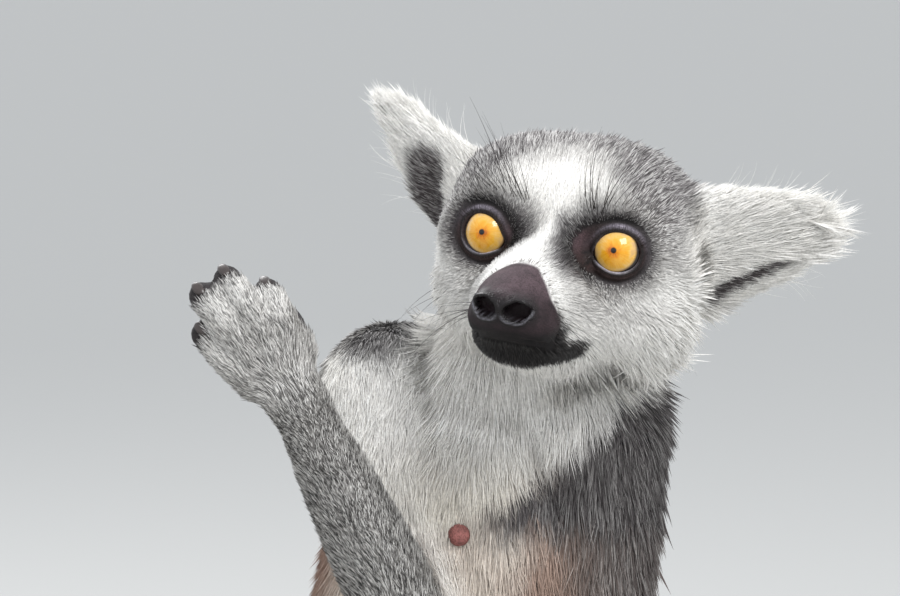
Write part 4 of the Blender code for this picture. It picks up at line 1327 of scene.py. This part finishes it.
def makeCoat(name, chosen, material):
    root, normal, pick, region, sample = tuftsFor(chosen)
    count = len(root)
    flow = unit(pick["flow"] - normal * (pick["flow"] * normal).sum(axis=1, keepdims=True))
    aside = np.cross(normal, flow)
    uneven = coat["uneven"]
    # locks: neighbours lean the same way, then each hair strays by itself
    lock = sum(wander(root, size, seed) * lean for size, seed, lean in coat["locks"])
    heading = unit(flow + aside * (lock + rng.normal(0, uneven["heading"], count))[:, None])
    length = pick["length"] * (1 + rng.normal(0, uneven["length"], count))
    length = np.clip(length * (1 + 0.12 * wander(root, 10, 12.0)), 1.0, coat["longest"])
    lift = np.radians(pick["lift"] * (1 + uneven["lift"] * rng.normal(0, 1, count))).clip(0.04, 1.0)
    rise = length * np.sin(lift)
    middle = root + heading * (length * coat["bend"] * np.cos(lift * 0.7))[:, None]
    middle, middleNormal = followSkin(middle + normal * (rise * 0.55)[:, None], 0.2 + rise * 0.55, 0.75)
    rest = (length * (1 - coat["bend"]))[:, None]
    tip, _ = followSkin(middle + unit(middle - root) * rest, 0.05 + rise * 0.85, 0.82)
    tip = middle + unit(tip - middle) * rest
    tip[:, 2] = np.maximum(tip[:, 2], 0.3)
    middle[:, 2] = np.maximum(middle[:, 2], 0.5)
    root = root - normal * coat["sunk"]
    wide = pick["width"] * (1 + rng.normal(0, uneven["width"], count))
    across = unit(np.cross(normal, tip - root)) * (wide / 2)[:, None]
    body = np.stack((root, middle + across, middle - across, tip), axis=1)
    # hairs take the light as the body under them does, a little rounded; their undersides are flat
    bulge, curve, slope = coat["rounding"]
    soft = unit(unit(middleNormal + normal) + unit(np.cross(tip - root, across)) * bulge)
    rounded = unit(across) * curve
    lean = unit(tip - root) * slope
    facing = np.stack((soft - lean, soft + rounded, soft - rounded, soft + lean), axis=1)
    left, right, far = (body[:, k] - body[:, 0] for k in (1, 2, 3))
    unders = [np.repeat(unit(np.cross(*pair))[:, None], 3, 1) for pair in ((left, far), (far, right))]
    lit = np.concatenate((facing[:, (0, 2, 1, 3, 1, 2)], *unders), axis=1)

    # each hair is a shade of its own; grizzled ones are banded black and white
    shade = 1 + rng.normal(0, uneven["shade"], count)
    stray = heading * rng.normal(0, coat["stray"], (count, 1))
    stray = stray + aside * rng.normal(0, coat["stray"] * 0.6, (count, 1))
    below = nearestSkin(middle + stray)[3]
    colour = look["colour"][triangles[below]].mean(axis=1) * shade[:, None]
    band = rng.random(count)
    g = pick["grizzle"]
    pale = mix(colour, tone["white"], g * 0.75)
    dark = mix(colour, tone["black"], g * 0.85)
    isPale, isDark = (band < coat["pale"])[:, None], (band > 1 - coat["dark"])[:, None]
    inner = np.where(isPale, pale, np.where(isDark, dark, colour))
    tipColour = np.where(isDark, mix(dark, colour, 0.3), mix(colour, tone["white"], g * 0.25))
    tipColour = np.where(isPale, pale, tipColour)
    # the root end of each tuft is painted a tenth darker, as shade where it goes down into the coat
    shades = np.stack((inner * 0.9, inner, inner, tipColour), axis=1)

    mesh = bpy.data.meshes.new(name)
    mesh.vertices.add(count * 4)
    mesh.vertices.foreach_set("co", ((body.reshape(-1, 3) + shift) * 0.001).astype(np.float32).ravel())
    index = (tuftFaces[None] + np.arange(count)[:, None, None] * 4).ravel().astype(np.int32)
    mesh.loops.add(len(index))
    mesh.loops.foreach_set("vertex_index", index)
    mesh.polygons.add(count * 4)
    mesh.polygons.foreach_set("loop_start", np.arange(0, len(index), 3, dtype=np.int32))
    mesh.polygons.foreach_set("loop_total", np.full(count * 4, 3, np.int32))
    mesh.update(calc_edges=True)
    roundShading(mesh)
    mesh.normals_split_custom_set(unit(lit.reshape(-1, 3)).astype(np.float32))
    setAttribute(mesh, "coatColour", "FLOAT_COLOR", withAlpha(np.clip(shades.reshape(-1, 3), 0, 1)))
    spots = unwrapPlaces(root, region, sample)
    p = coat["patch"]
    offsets = np.array(((-p, 0), (0, p), (0, -p), (p, 0)))
    spread = (spots[:, None] + offsets[None]).reshape(-1, 2)
    mesh.uv_layers.new(name="OFBake").data.foreach_set("uv", spread[index].astype(np.float32).ravel())
    obj = linked(name, mesh)
    putMaterial(obj, material)
    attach(obj, "root")
    report(f"{name}: {count} tufts")


faceRegion = look["region"][triangles[:, 0]]
middleOf = corners.mean(axis=1)
inHead = toHead(middleOf)
isFront = inHead[:, 1] > coat["face"]
headLeft = inHead[:, 0] > 0
torsoLeft = (middleOf[:, :2] - (0, 20)) @ torsoAxes[:2, 0] > 0
tailT = sampleT[look["sample"][triangles[:, 0]]]
here = {name: faceRegion == k for k, name in enumerate(regionNames)}
coatPieces = {}  # for each piece, its triangles of the skin and its slot


def addHalves(name, slot, mask, left):
    coatPieces[name + "Left"] = (mask & left, slot)
    coatPieces[name + "Right"] = (mask & ~left, slot)


addHalves("faceCoat", "face_fur", here["head"] & isFront, headLeft)
addHalves("crownCoat", "face_fur", here["head"] & ~isFront, headLeft)
addHalves("earCoat", "ear_fur", here["earLeft"] | here["earRight"], here["earLeft"])
coatPieces["throatCoat"] = (here["torso"] & (middleOf[:, 2] > coat["throat"]), "throat_fur")
for name, low, high in (("chest", coat["chest"], coat["throat"]), ("flank", coat["flank"], coat["chest"]),
                        ("rump", -math.inf, coat["flank"])):
    level = (middleOf[:, 2] > low) & (middleOf[:, 2] <= high)
    addHalves(name + "Coat", name + "_fur", here["torso"] & level, torsoLeft)
coatPieces["armCoatLeft"] = (here["armLeft"] | here["handLeft"], "limb_fur")
coatPieces["armCoatRight"] = (here["armRight"], "limb_fur")
coatPieces["handCoatRight"] = (here["handRight"], "limb_fur")
legsLeft, legsRight = (here["leg" + name] | here["foot" + name] for name in ("Left", "Right"))
addHalves("legCoat", "limb_fur", legsLeft | legsRight, legsLeft)
tailCuts = (-math.inf, *coat["tail"], math.inf)
for name, low, high in zip(("Base", "Middle", "End"), tailCuts, tailCuts[1:]):
    coatPieces["tailCoat" + name] = (here["tail"] & (tailT > low) & (tailT <= high), "tail_fur")
furFinish = {slot: furMaterial(name) for slot, name in {
    "face_fur": "shortFaceHair", "ear_fur": "longEarHair", "throat_fur": "softThroatHair",
    "chest_fur": "softChestHair", "flank_fur": "woollyFlankHair", "rump_fur": "woollyRumpHair",
    "limb_fur": "grizzledLimbHair", "tail_fur": "ringedTailHair"}.items()}
for name, (mask, slot) in coatPieces.items():
    makeCoat(name, np.nonzero(mask)[0], furFinish[slot])

# Eyes.

eye = {
    "irisRadius": 6.35,  # mm, of the coloured ring
    "pupil": 0.82,
    "corneaBulge": 0.55,
    "rings": 40,
    "turns": 72,
    "iris": [(0.10, "#b05c06"), (0.22, "#d2800a"), (0.40, "#dd981c"), (0.62, "#e0a83a"), (0.82, "#ddb161"),
             (1.0, "#c7a06a")],
}


def eyeMaterial():
    # wet cornea over a golden iris: deep orange by the pupil, pale and veined at the rim
    material, tree = newMaterial("amberEye")
    # a place in the eye in mm: outward, up, ahead
    at = addNode(tree, "ShaderNodeAttribute", attribute_name="inEye").outputs["Vector"]
    flat = addNode(tree, "ShaderNodeVectorMath", {0: at, 1: (1.0, 1.0, 0.0)}, operation="MULTIPLY")
    away = addNode(tree, "ShaderNodeVectorMath", {0: flat}, operation="LENGTH").outputs["Value"]
    spoke = addNode(tree, "ShaderNodeVectorMath", {0: flat}, operation="NORMALIZE")
    rays = addNode(tree, "ShaderNodeTexNoise", {"Vector": spoke, "Scale": 11.0, "Detail": 7.0,
                                                "Roughness": 0.7})
    cloud = addNode(tree, "ShaderNodeTexNoise", {"Vector": at, "Scale": 0.42, "Detail": 4.0,
                                                 "Distortion": 0.8})
    # the deep orange sits a little under the pupil
    low = addNode(tree, "ShaderNodeVectorMath", {0: flat, 1: (0.0, 0.55, 0.0)}, operation="ADD")
    lowAway = addNode(tree, "ShaderNodeVectorMath", {0: low}, operation="LENGTH").outputs["Value"]
    wave = addNode(tree, "ShaderNodeMapRange", {"Value": rays, "From Min": 0.3, "From Max": 0.7,
                                                "To Min": -0.6, "To Max": 0.6})
    drift = addNode(tree, "ShaderNodeMapRange", {"Value": cloud, "From Min": 0.3, "From Max": 0.7,
                                                 "To Min": -1.1, "To Max": 1.3})
    total = addNode(tree, "ShaderNodeMath", {0: lowAway, 1: wave}, operation="ADD")
    total = addNode(tree, "ShaderNodeMath", {0: total, 1: drift}, operation="ADD")
    zone = addNode(tree, "ShaderNodeMath", {0: total, 1: 1 / eye["irisRadius"]}, operation="MULTIPLY")
    iris = addNode(tree, "ShaderNodeValToRGB", {"Fac": zone}, stops=eye["iris"])
    veins = addNode(tree, "ShaderNodeMapRange", {"Value": rays, "From Min": 0.35, "From Max": 0.65,
                                                 "To Min": 0.94, "To Max": 1.05})
    veined = addNode(tree, "ShaderNodeHueSaturation", {"Color": iris, "Value": veins})
    edge = addNode(tree, "ShaderNodeMath", {0: away, 1: 1 / eye["irisRadius"]}, operation="MULTIPLY")
    pupil = eye["pupil"] / eye["irisRadius"]
    colour = veined
    # the pupil, then the dark rim of the iris
    for stops, tint in ((((pupil * 0.85, 1.0), (pupil * 1.2, 0.0)), "#070505"),
                        (((0.9, 0.0), (0.99, 1.0)), "#150c09")):
        mask = addNode(tree, "ShaderNodeValToRGB", {"Fac": edge}, stops=stops)
        step = addNode(tree, "ShaderNodeMix", {"Factor": mask, 6: colour, 7: (*linear(tint), 1)},
                       data_type="RGBA")
        colour = step.outputs[2]
    shader = addNode(tree, "ShaderNodeBsdfPrincipled", {
        "Base Color": colour, "Roughness": 0.2, "IOR": 1.376, "Coat Weight": 1.0, "Coat Roughness": 0.03,
        "Coat IOR": 1.376, "Specular IOR Level": 0.4})
    finishMaterial(tree, shader)
    return material


def makeEye(name, sign, material):
    centre = eyeFrame(sign)[0]
    aside, above = (math.radians(v) for v in build["gaze"][sign])
    flat = math.cos(above)
    ahead = np.array((sign * math.sin(aside) * flat, math.cos(aside) * flat, math.sin(above)))
    outward = unit(np.cross(ahead, (0, 0, sign)))
    up = np.cross(outward, ahead) * sign
    m, n = eye["rings"], eye["turns"]
    lean = np.linspace(0, math.pi, m + 1)[1:-1]
    turn = np.arange(n) * 2 * math.pi / n
    grid = np.stack([np.outer(np.sin(lean), np.cos(turn)), np.outer(np.sin(lean), np.sin(turn)),
                     np.outer(np.cos(lean), np.ones(n))], axis=-1).reshape(-1, 3)
    local = np.concatenate(([(0, 0, 1.0)], grid, [(0, 0, -1.0)])) * build["eyeRadius"]
    spread = np.hypot(local[:, 0], local[:, 1]) / eye["irisRadius"]
    local[:, 2] += eye["corneaBulge"] * np.clip(1 - spread**2, 0, 1) * (local[:, 2] > 0)
    faces = [(0, 1 + (k + 1) % n, 1 + k) for k in range(n)]
    for i in range(m - 2):
        a, b = 1 + i * n, 1 + (i + 1) * n
        faces += [(a + k, a + (k + 1) % n, b + (k + 1) % n, b + k) for k in range(n)]
    last = len(local) - 1
    faces += [(last, last - n + k, last - n + (k + 1) % n) for k in range(n)]
    places = centre + local[:, :1] * outward + local[:, 1:2] * up + local[:, 2:] * ahead
    obj = newObject(name, fromHead(places), [f[::-1] if sign < 0 else f for f in faces])
    turnOutward(obj.data)
    setAttribute(obj.data, "inEye", "FLOAT_VECTOR", local)
    roundShading(obj.data)
    putMaterial(obj, material)
    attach(obj, "root")
    return obj


amber = eyeMaterial()
for side, sign in (("left", 1), ("right", -1)):
    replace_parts(makeEye("eyeball" + side.title(), sign, amber), "eye_" + side)
report("eyes")

# Whiskers, lashes and nails: one shape each, set on points by geometry nodes.

def setOnPoints(name, rows, prototype, values, material):
    # rows: place, the way it points, the way it bends, and how long, in mm
    places, headings, bends, reach = (np.array(v, float) for v in zip(*rows))
    obj = newObject(name, places, [])
    setAttribute(obj.data, "heading", "FLOAT_VECTOR", unit(headings))
    setAttribute(obj.data, "bend", "FLOAT_VECTOR", unit(bends))
    setAttribute(obj.data, "reach", "FLOAT", reach * 0.001)
    tree = bpy.data.node_groups.new(name, "GeometryNodeTree")
    tree.interface.new_socket("Geometry", in_out="INPUT", socket_type="NodeSocketGeometry")
    for key in values:
        tree.interface.new_socket(key, in_out="INPUT", socket_type="NodeSocketFloat")
    tree.interface.new_socket("Geometry", in_out="OUTPUT", socket_type="NodeSocketGeometry")
    start = addNode(tree, "NodeGroupInput")
    shape = prototype(tree, start)
    heading, bend, size = (addNode(tree, "GeometryNodeInputNamedAttribute", {"Name": key}, data_type=kind)
                           for key, kind in (("heading", "FLOAT_VECTOR"), ("bend", "FLOAT_VECTOR"),
                                             ("reach", "FLOAT")))
    point = addNode(tree, "FunctionNodeAlignRotationToVector", {"Vector": heading}, axis="Z")
    roll = addNode(tree, "FunctionNodeAlignRotationToVector", {
        "Rotation": point, "Vector": bend}, axis="X", pivot_axis="Z")
    placed = addNode(tree, "GeometryNodeInstanceOnPoints", {
        "Points": start.outputs["Geometry"], "Instance": shape, "Rotation": roll,
        "Scale": size})
    real = addNode(tree, "GeometryNodeRealizeInstances", {"Geometry": placed})
    painted = addNode(tree, "GeometryNodeSetMaterial", {"Geometry": real, "Material": material})
    addNode(tree, "NodeGroupOutput", {"Geometry": painted})
    nodes = obj.modifiers.new("nodes", "NODES")
    nodes.node_group = tree
    for item in tree.interface.items_tree:
        if item.in_out == "INPUT" and item.name in values:
            nodes[item.identifier] = values[item.name]
    obj.data = evaluated(obj)
    obj.modifiers.clear()
    roundShading(obj.data)
    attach(obj, "root")


def hairShape(tree, start):
    # a tapering, bent hair of length one
    aside = addNode(tree, "ShaderNodeCombineXYZ", {"X": start.outputs["Bend"], "Z": 0.97})
    line = addNode(tree, "GeometryNodeCurveQuadraticBezier", {
        "Resolution": 6, "Start": (0, 0, 0), "Middle": (0, 0, 0.55), "End": aside})
    share = addNode(tree, "GeometryNodeSplineParameter")
    taper = addNode(tree, "ShaderNodeMapRange", {"Value": share, "To Min": 1.0, "To Max": 0.12})
    thick = addNode(tree, "ShaderNodeMath", {0: taper, 1: start.outputs["Thickness"]}, operation="MULTIPLY")
    section = addNode(tree, "GeometryNodeCurvePrimitiveCircle", {"Resolution": 4, "Radius": 1.0})
    tube = addNode(tree, "GeometryNodeCurveToMesh", {
        "Curve": line, "Profile Curve": section, "Scale": thick,
        "Fill Caps": True})
    return tube


def nailShape(tree, start):
    # a small arched plate: a ball drawn long and flat
    ball = addNode(tree, "GeometryNodeMeshUVSphere", {"Segments": 10, "Rings": 6, "Radius": 0.5})
    shape = addNode(tree, "ShaderNodeCombineXYZ", {
        "X": start.outputs["Thickness"], "Y": start.outputs["Width"], "Z": 1.0})
    flat = addNode(tree, "GeometryNodeTransform", {"Geometry": ball, "Scale": shape})
    return flat


def plainMaterial(name, colour, roughness, coatWeight=0.0):
    # one colour, streaked along its growth a little lighter and darker
    material, tree = newMaterial(name)
    place = addNode(tree, "ShaderNodeTexCoord").outputs["Object"]
    # streaks of about 1 mm
    streak = addNode(tree, "ShaderNodeTexNoise", {"Vector": place, "Scale": 900.0, "Detail": 2.0})
    value = addNode(tree, "ShaderNodeMapRange", {"Value": streak, "To Min": 0.6, "To Max": 1.4})
    shade = addNode(tree, "ShaderNodeHueSaturation", {"Color": (*linear(colour), 1), "Value": value})
    finishMaterial(tree, addNode(tree, "ShaderNodeBsdfPrincipled", {
        "Base Color": shade, "Roughness": roughness, "Specular IOR Level": 0.35,
        "Coat Weight": coatWeight}))
    return material


whiskers = {
    "seed": 7,
    "hair": {"Bend": 0.22, "Thickness": 0.0052},  # of a hair of length one
    "strays": (0.16, 1.1, 0.15, 0.2),  # in heading, place, sag and length
    "copies": {"brow": 3, "cheek": 2, "muzzle": 2, "chin": 3},  # of each, on both sides
    # root in the head (left, forward, up), the way it points, and its length
    "brow": [((9, 9, 11), (0.05, 0.45, 1), 15), ((11, 9.5, 11.5), (0.2, 0.45, 1), 19),
             ((13.5, 9, 12), (0.35, 0.4, 1), 21), ((16, 8.5, 12.5), (0.5, 0.4, 1), 20),
             ((10, 10, 10.5), (-0.15, 0.5, 1), 16), ((18.5, 7.5, 12.5), (0.7, 0.35, 1), 17),
             ((12, 10, 10.5), (0.0, 0.55, 1), 22), ((20.5, 6.5, 12), (0.9, 0.3, 0.9), 14)],
    "cheek": [((27, -4, -17), (0.8, 0.25, -0.75), 13), ((29, -6, -19), (0.9, 0.1, -0.55), 15),
              ((26, -2, -21), (0.7, 0.3, -0.9), 11)],
    "muzzle": [((11.5, 31, -17), (1, 0.1, -0.15), 12), ((12, 29, -20), (1, 0, -0.35), 15),
               ((11.5, 32, -22), (1, 0.2, -0.5), 13), ((12.5, 26, -17.5), (1, -0.1, -0.1), 14),
               ((12.8, 26, -22.5), (1, -0.1, -0.5), 16), ((10.5, 34, -19.5), (1, 0.35, -0.3), 9)],
    "chin": [((3.5, 33, -33), (0.25, 0.3, -1), 12), ((8, 29, -33.5), (0.35, 0.1, -1), 10),
             ((11.5, 22, -34), (0.5, 0, -1), 9)],
}
hairDraw = np.random.default_rng(whiskers["seed"])
strayWay, strayPlace, straySag, strayLength = whiskers["strays"]
whiskerRows = []
for group, copies in whiskers["copies"].items():
    for root, heading, length in whiskers[group] * copies:
        for sign in (1, -1):
            stray = hairDraw.normal(0, strayWay, 3)
            place = fromHead([np.array(root) * (sign, 1, 1) + hairDraw.normal(0, strayPlace, 3)])
            found, normal, _, _ = nearestSkin(place)
            way = headWay(unit(np.array(heading, float)) * (sign, 1, 1) + stray)
            way = unit(way) + normal[0] * 0.25
            sag = headWay((sign * 0.6, -0.6, 0)) if group == "brow" else np.array((0.0, 0.0, -1.0))
            whiskerRows.append((found[0] - normal[0] * 0.4, way, sag + hairDraw.normal(0, straySag, 3),
                                length * (1.15 + hairDraw.normal(0, strayLength))))
# whiskers and lashes: near black, with the dull shine of a bristle
darkHair = plainMaterial("darkWhiskerHair", "#241d1b", 0.4)
setOnPoints("whiskers", whiskerRows, hairShape, whiskers["hair"], darkHair)

# a few long white hairs stray from the ears' edges
wisps = {"eachEdge": 26, "from": 0.3, "edge": 0.9, "length": (9, 15),
         "hair": {"Bend": 0.35, "Thickness": 0.0065}}
wispRows = []
for side in ("right", "left"):
    earPoints, earTurn = earFrame(side)
    for edge in (1, -1):
        for t in hairDraw.uniform(wisps["from"], 1.0, wisps["eachEdge"]):
            wide = np.interp(t, (0, 0.5, 1), ears[side]["widths"]) * wisps["edge"]
            place = along(earPoints, t) + earTurn[:, 0] * edge * wide
            found, normal, _, _ = nearestSkin((place + earTurn[:, 1] * hairDraw.normal(0, 1.5))[None])
            way = earTurn[:, 2] + earTurn[:, 0] * edge * (0.15 + 0.5 * (1 - t)) + normal[0] * 0.25
            way = way + hairDraw.normal(0, 0.12, 3)
            wispRows.append((found[0], way, hairDraw.normal(0, 1, 3), hairDraw.uniform(*wisps["length"])))
# long ear hair: clean white and soft
paleHair = plainMaterial("paleEarHair", "#f1efea", 0.5)
setOnPoints("earWisps", wispRows, hairShape, wisps["hair"], paleHair)

lashes = {
    "upper": {"turns": (18, 165, 46), "length": (2.2, 3.4), "aside": 0.9, "ahead": 0.55},
    "lower": {"turns": (215, 335, 18), "length": (1.2, 1.9), "aside": 1.0, "ahead": 0.25},
    "radius": 9.1,  # where they stand, from the eye's centre
    "past": 2.0,  # degrees behind the edge of the lid
    "hair": {"Bend": 0.3, "Thickness": 0.03},
}
lashRows = []
for sign in (1, -1):
    centre, outward, up, ahead = eyeFrame(sign)
    for lid, curl in (("upper", up), ("lower", -up)):
        values = lashes[lid]
        for turn in np.linspace(*values["turns"]):
            turn = turn + hairDraw.normal(0, 1.5)
            a, lean = math.radians(turn), math.radians(float(lidOpening(turn)) + lashes["past"])
            aside = outward * math.cos(a) + up * math.sin(a)
            place = centre + (ahead * math.cos(lean) + aside * math.sin(lean)) * lashes["radius"]
            way = aside * values["aside"] + ahead * values["ahead"] + hairDraw.normal(0, 0.12, 3)
            length = hairDraw.uniform(*values["length"])
            lashRows.append((fromHead(place), headWay(way), headWay(curl), length))
setOnPoints("lashes", lashRows, hairShape, lashes["hair"], darkHair)

nails = {"length": 5.2, "plate": {"Thickness": 0.24, "Width": 0.66}, "over": 3.5, "past": 1.4, "droop": 0.35}
nailRows = []
for side, foot in handMasses:
    start, axes = pawFrame(side, foot)
    for joints in limbs["toes" if foot else "fingers"]:
        before, last = (pawPoint(start, axes, j) for j in joints[1:])
        way = unit(last - before)
        back = squared(axes[:, 2], way)
        nailRows.append((last + back * nails["over"] + way * nails["past"], way - back * nails["droop"], back,
                         nails["length"]))
# nail horn: dark, smooth and a little polished
horn = plainMaterial("darkNailHorn", "#3a3230", 0.32, 0.3)
setOnPoints("nails", nailRows, nailShape, nails["plate"], horn)


def makeNipple(name, sign):
    (found,), (normal,), _, _ = nearestSkin(np.array([nipple["at"][sign]], float))
    side = unit(np.cross(normal, (0, 0, 1.0)))
    up = np.cross(side, normal)
    lower, rings, count = nipple["sunk"], nipple["rings"], nipple["turns"]
    turns = np.arange(count) * 2 * math.pi / count
    shell = [found + (side * math.cos(a) + up * math.sin(a)) * nipple["radius"] * wide
             + normal * (high - lower + nipple["rise"]) for wide, high, _ in rings for a in turns]
    shell += [found + normal * (nipple["top"] - lower + nipple["rise"]), found - normal * lower]
    top, low, last = len(shell) - 2, len(shell) - 1, (len(rings) - 1) * count
    faces = []
    for k in range(count):
        onward = (k + 1) % count
        faces += [(i + k, i + onward, i + count + onward, i + count + k) for i in range(0, last, count)]
        faces += [(last + k, last + onward, top), (onward, k, low)]
    obj = newObject(name, np.array(shell), faces)
    turnOutward(obj.data)
    roundShading(obj.data)
    pink = np.array([share for _, _, share in rings for _ in turns] + [1, 0])
    colour = mix(tone["streak"] * 0.5, tone["nipple"], pink)
    setAttribute(obj.data, "coatColour", "FLOAT_COLOR", withAlpha(colour))
    setAttribute(obj.data, "bareSkin", "FLOAT", np.ones(len(shell)))
    setAttribute(obj.data, "moist", "FLOAT", np.full(len(shell), 0.2))
    putMaterial(obj, skin.data.materials[0])
    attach(obj, "root")


makeNipple("nippleLeft", 1)
makeNipple("nippleRight", -1)
report("whiskers, ear wisps, lashes, nails and nipples")

# Floor, light and camera.

studio = {
    "floor": "#b4b4b2",
    "skyStrength": 1.12,
    "key": ((0.5, -1.0, 1.1), 0.7, 19.0),  # from where, how wide, watts
    "rim": ((-0.6, 1.2, 1.2), 1.0, 18.0),
    "air": (0.93, 0.96, 1.0, 1),
    "lookDown": 6.0,
    "distance": 1.5,
    "lens": 210.0,
    "film": 36.0,
    "aim": (-0.0287143, -0.0161429),  # metres from the face to the middle of the view, across and up
    "seeing": (0.05, 200),
}
far = 60  # metres to the edge of the floor
floorMesh = bpy.data.meshes.new("floor")
floorMesh.from_pydata([(-far, -far, 0), (far, -far, 0), (far, far, 0), (-far, far, 0)], [], [(0, 1, 2, 3)])
floor = linked("floor", floorMesh)
# matt paint on the floor: plain and pale, so that only soft shadows show
floorPaint, floorTree = newMaterial("paleMattPaint")
finishMaterial(floorTree, addNode(floorTree, "ShaderNodeBsdfPrincipled", {
    "Base Color": (*linear(studio["floor"]), 1), "Roughness": 0.8}))
putMaterial(floor, floorPaint)

bpy.context.scene.view_settings.view_transform = "Standard"
world = bpy.data.worlds.new("studio")
bpy.context.scene.world = world
world.use_nodes = True
background = world.node_tree.nodes["Background"].inputs
background["Color"].default_value = studio["air"]
background["Strength"].default_value = studio["skyStrength"]

faceAt = Vector((fromHead([(0, 8.6, 0)])[0] + shift) * 0.001)
for name in ("key", "rim"):
    where, wide, watts = studio[name]
    data = bpy.data.lights.new(name, "AREA")
    data.size = wide
    data.energy = watts
    lamp = linked(name, data)
    lamp.location = faceAt + Vector(where)
    lamp.rotation_euler = (faceAt - lamp.location).to_track_quat("-Z", "Y").to_euler()

camera = bpy.data.cameras.new("camera")
cameraObject = linked("camera", camera)
bpy.context.scene.camera = cameraObject
down = math.radians(studio["lookDown"])
upward = Vector((0, math.sin(down), math.cos(down)))
backward = Vector((0, -math.cos(down), math.sin(down)))
acrossBy, upBy = studio["aim"]
aim = faceAt + Vector((1, 0, 0)) * acrossBy + upward * upBy
cameraObject.location = aim + backward * studio["distance"]
cameraObject.rotation_euler = (-backward).to_track_quat("-Z", "Y").to_euler()
camera.sensor_width = studio["film"]
camera.lens = studio["lens"]
camera.clip_start, camera.clip_end = studio["seeing"]

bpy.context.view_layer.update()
report("done")
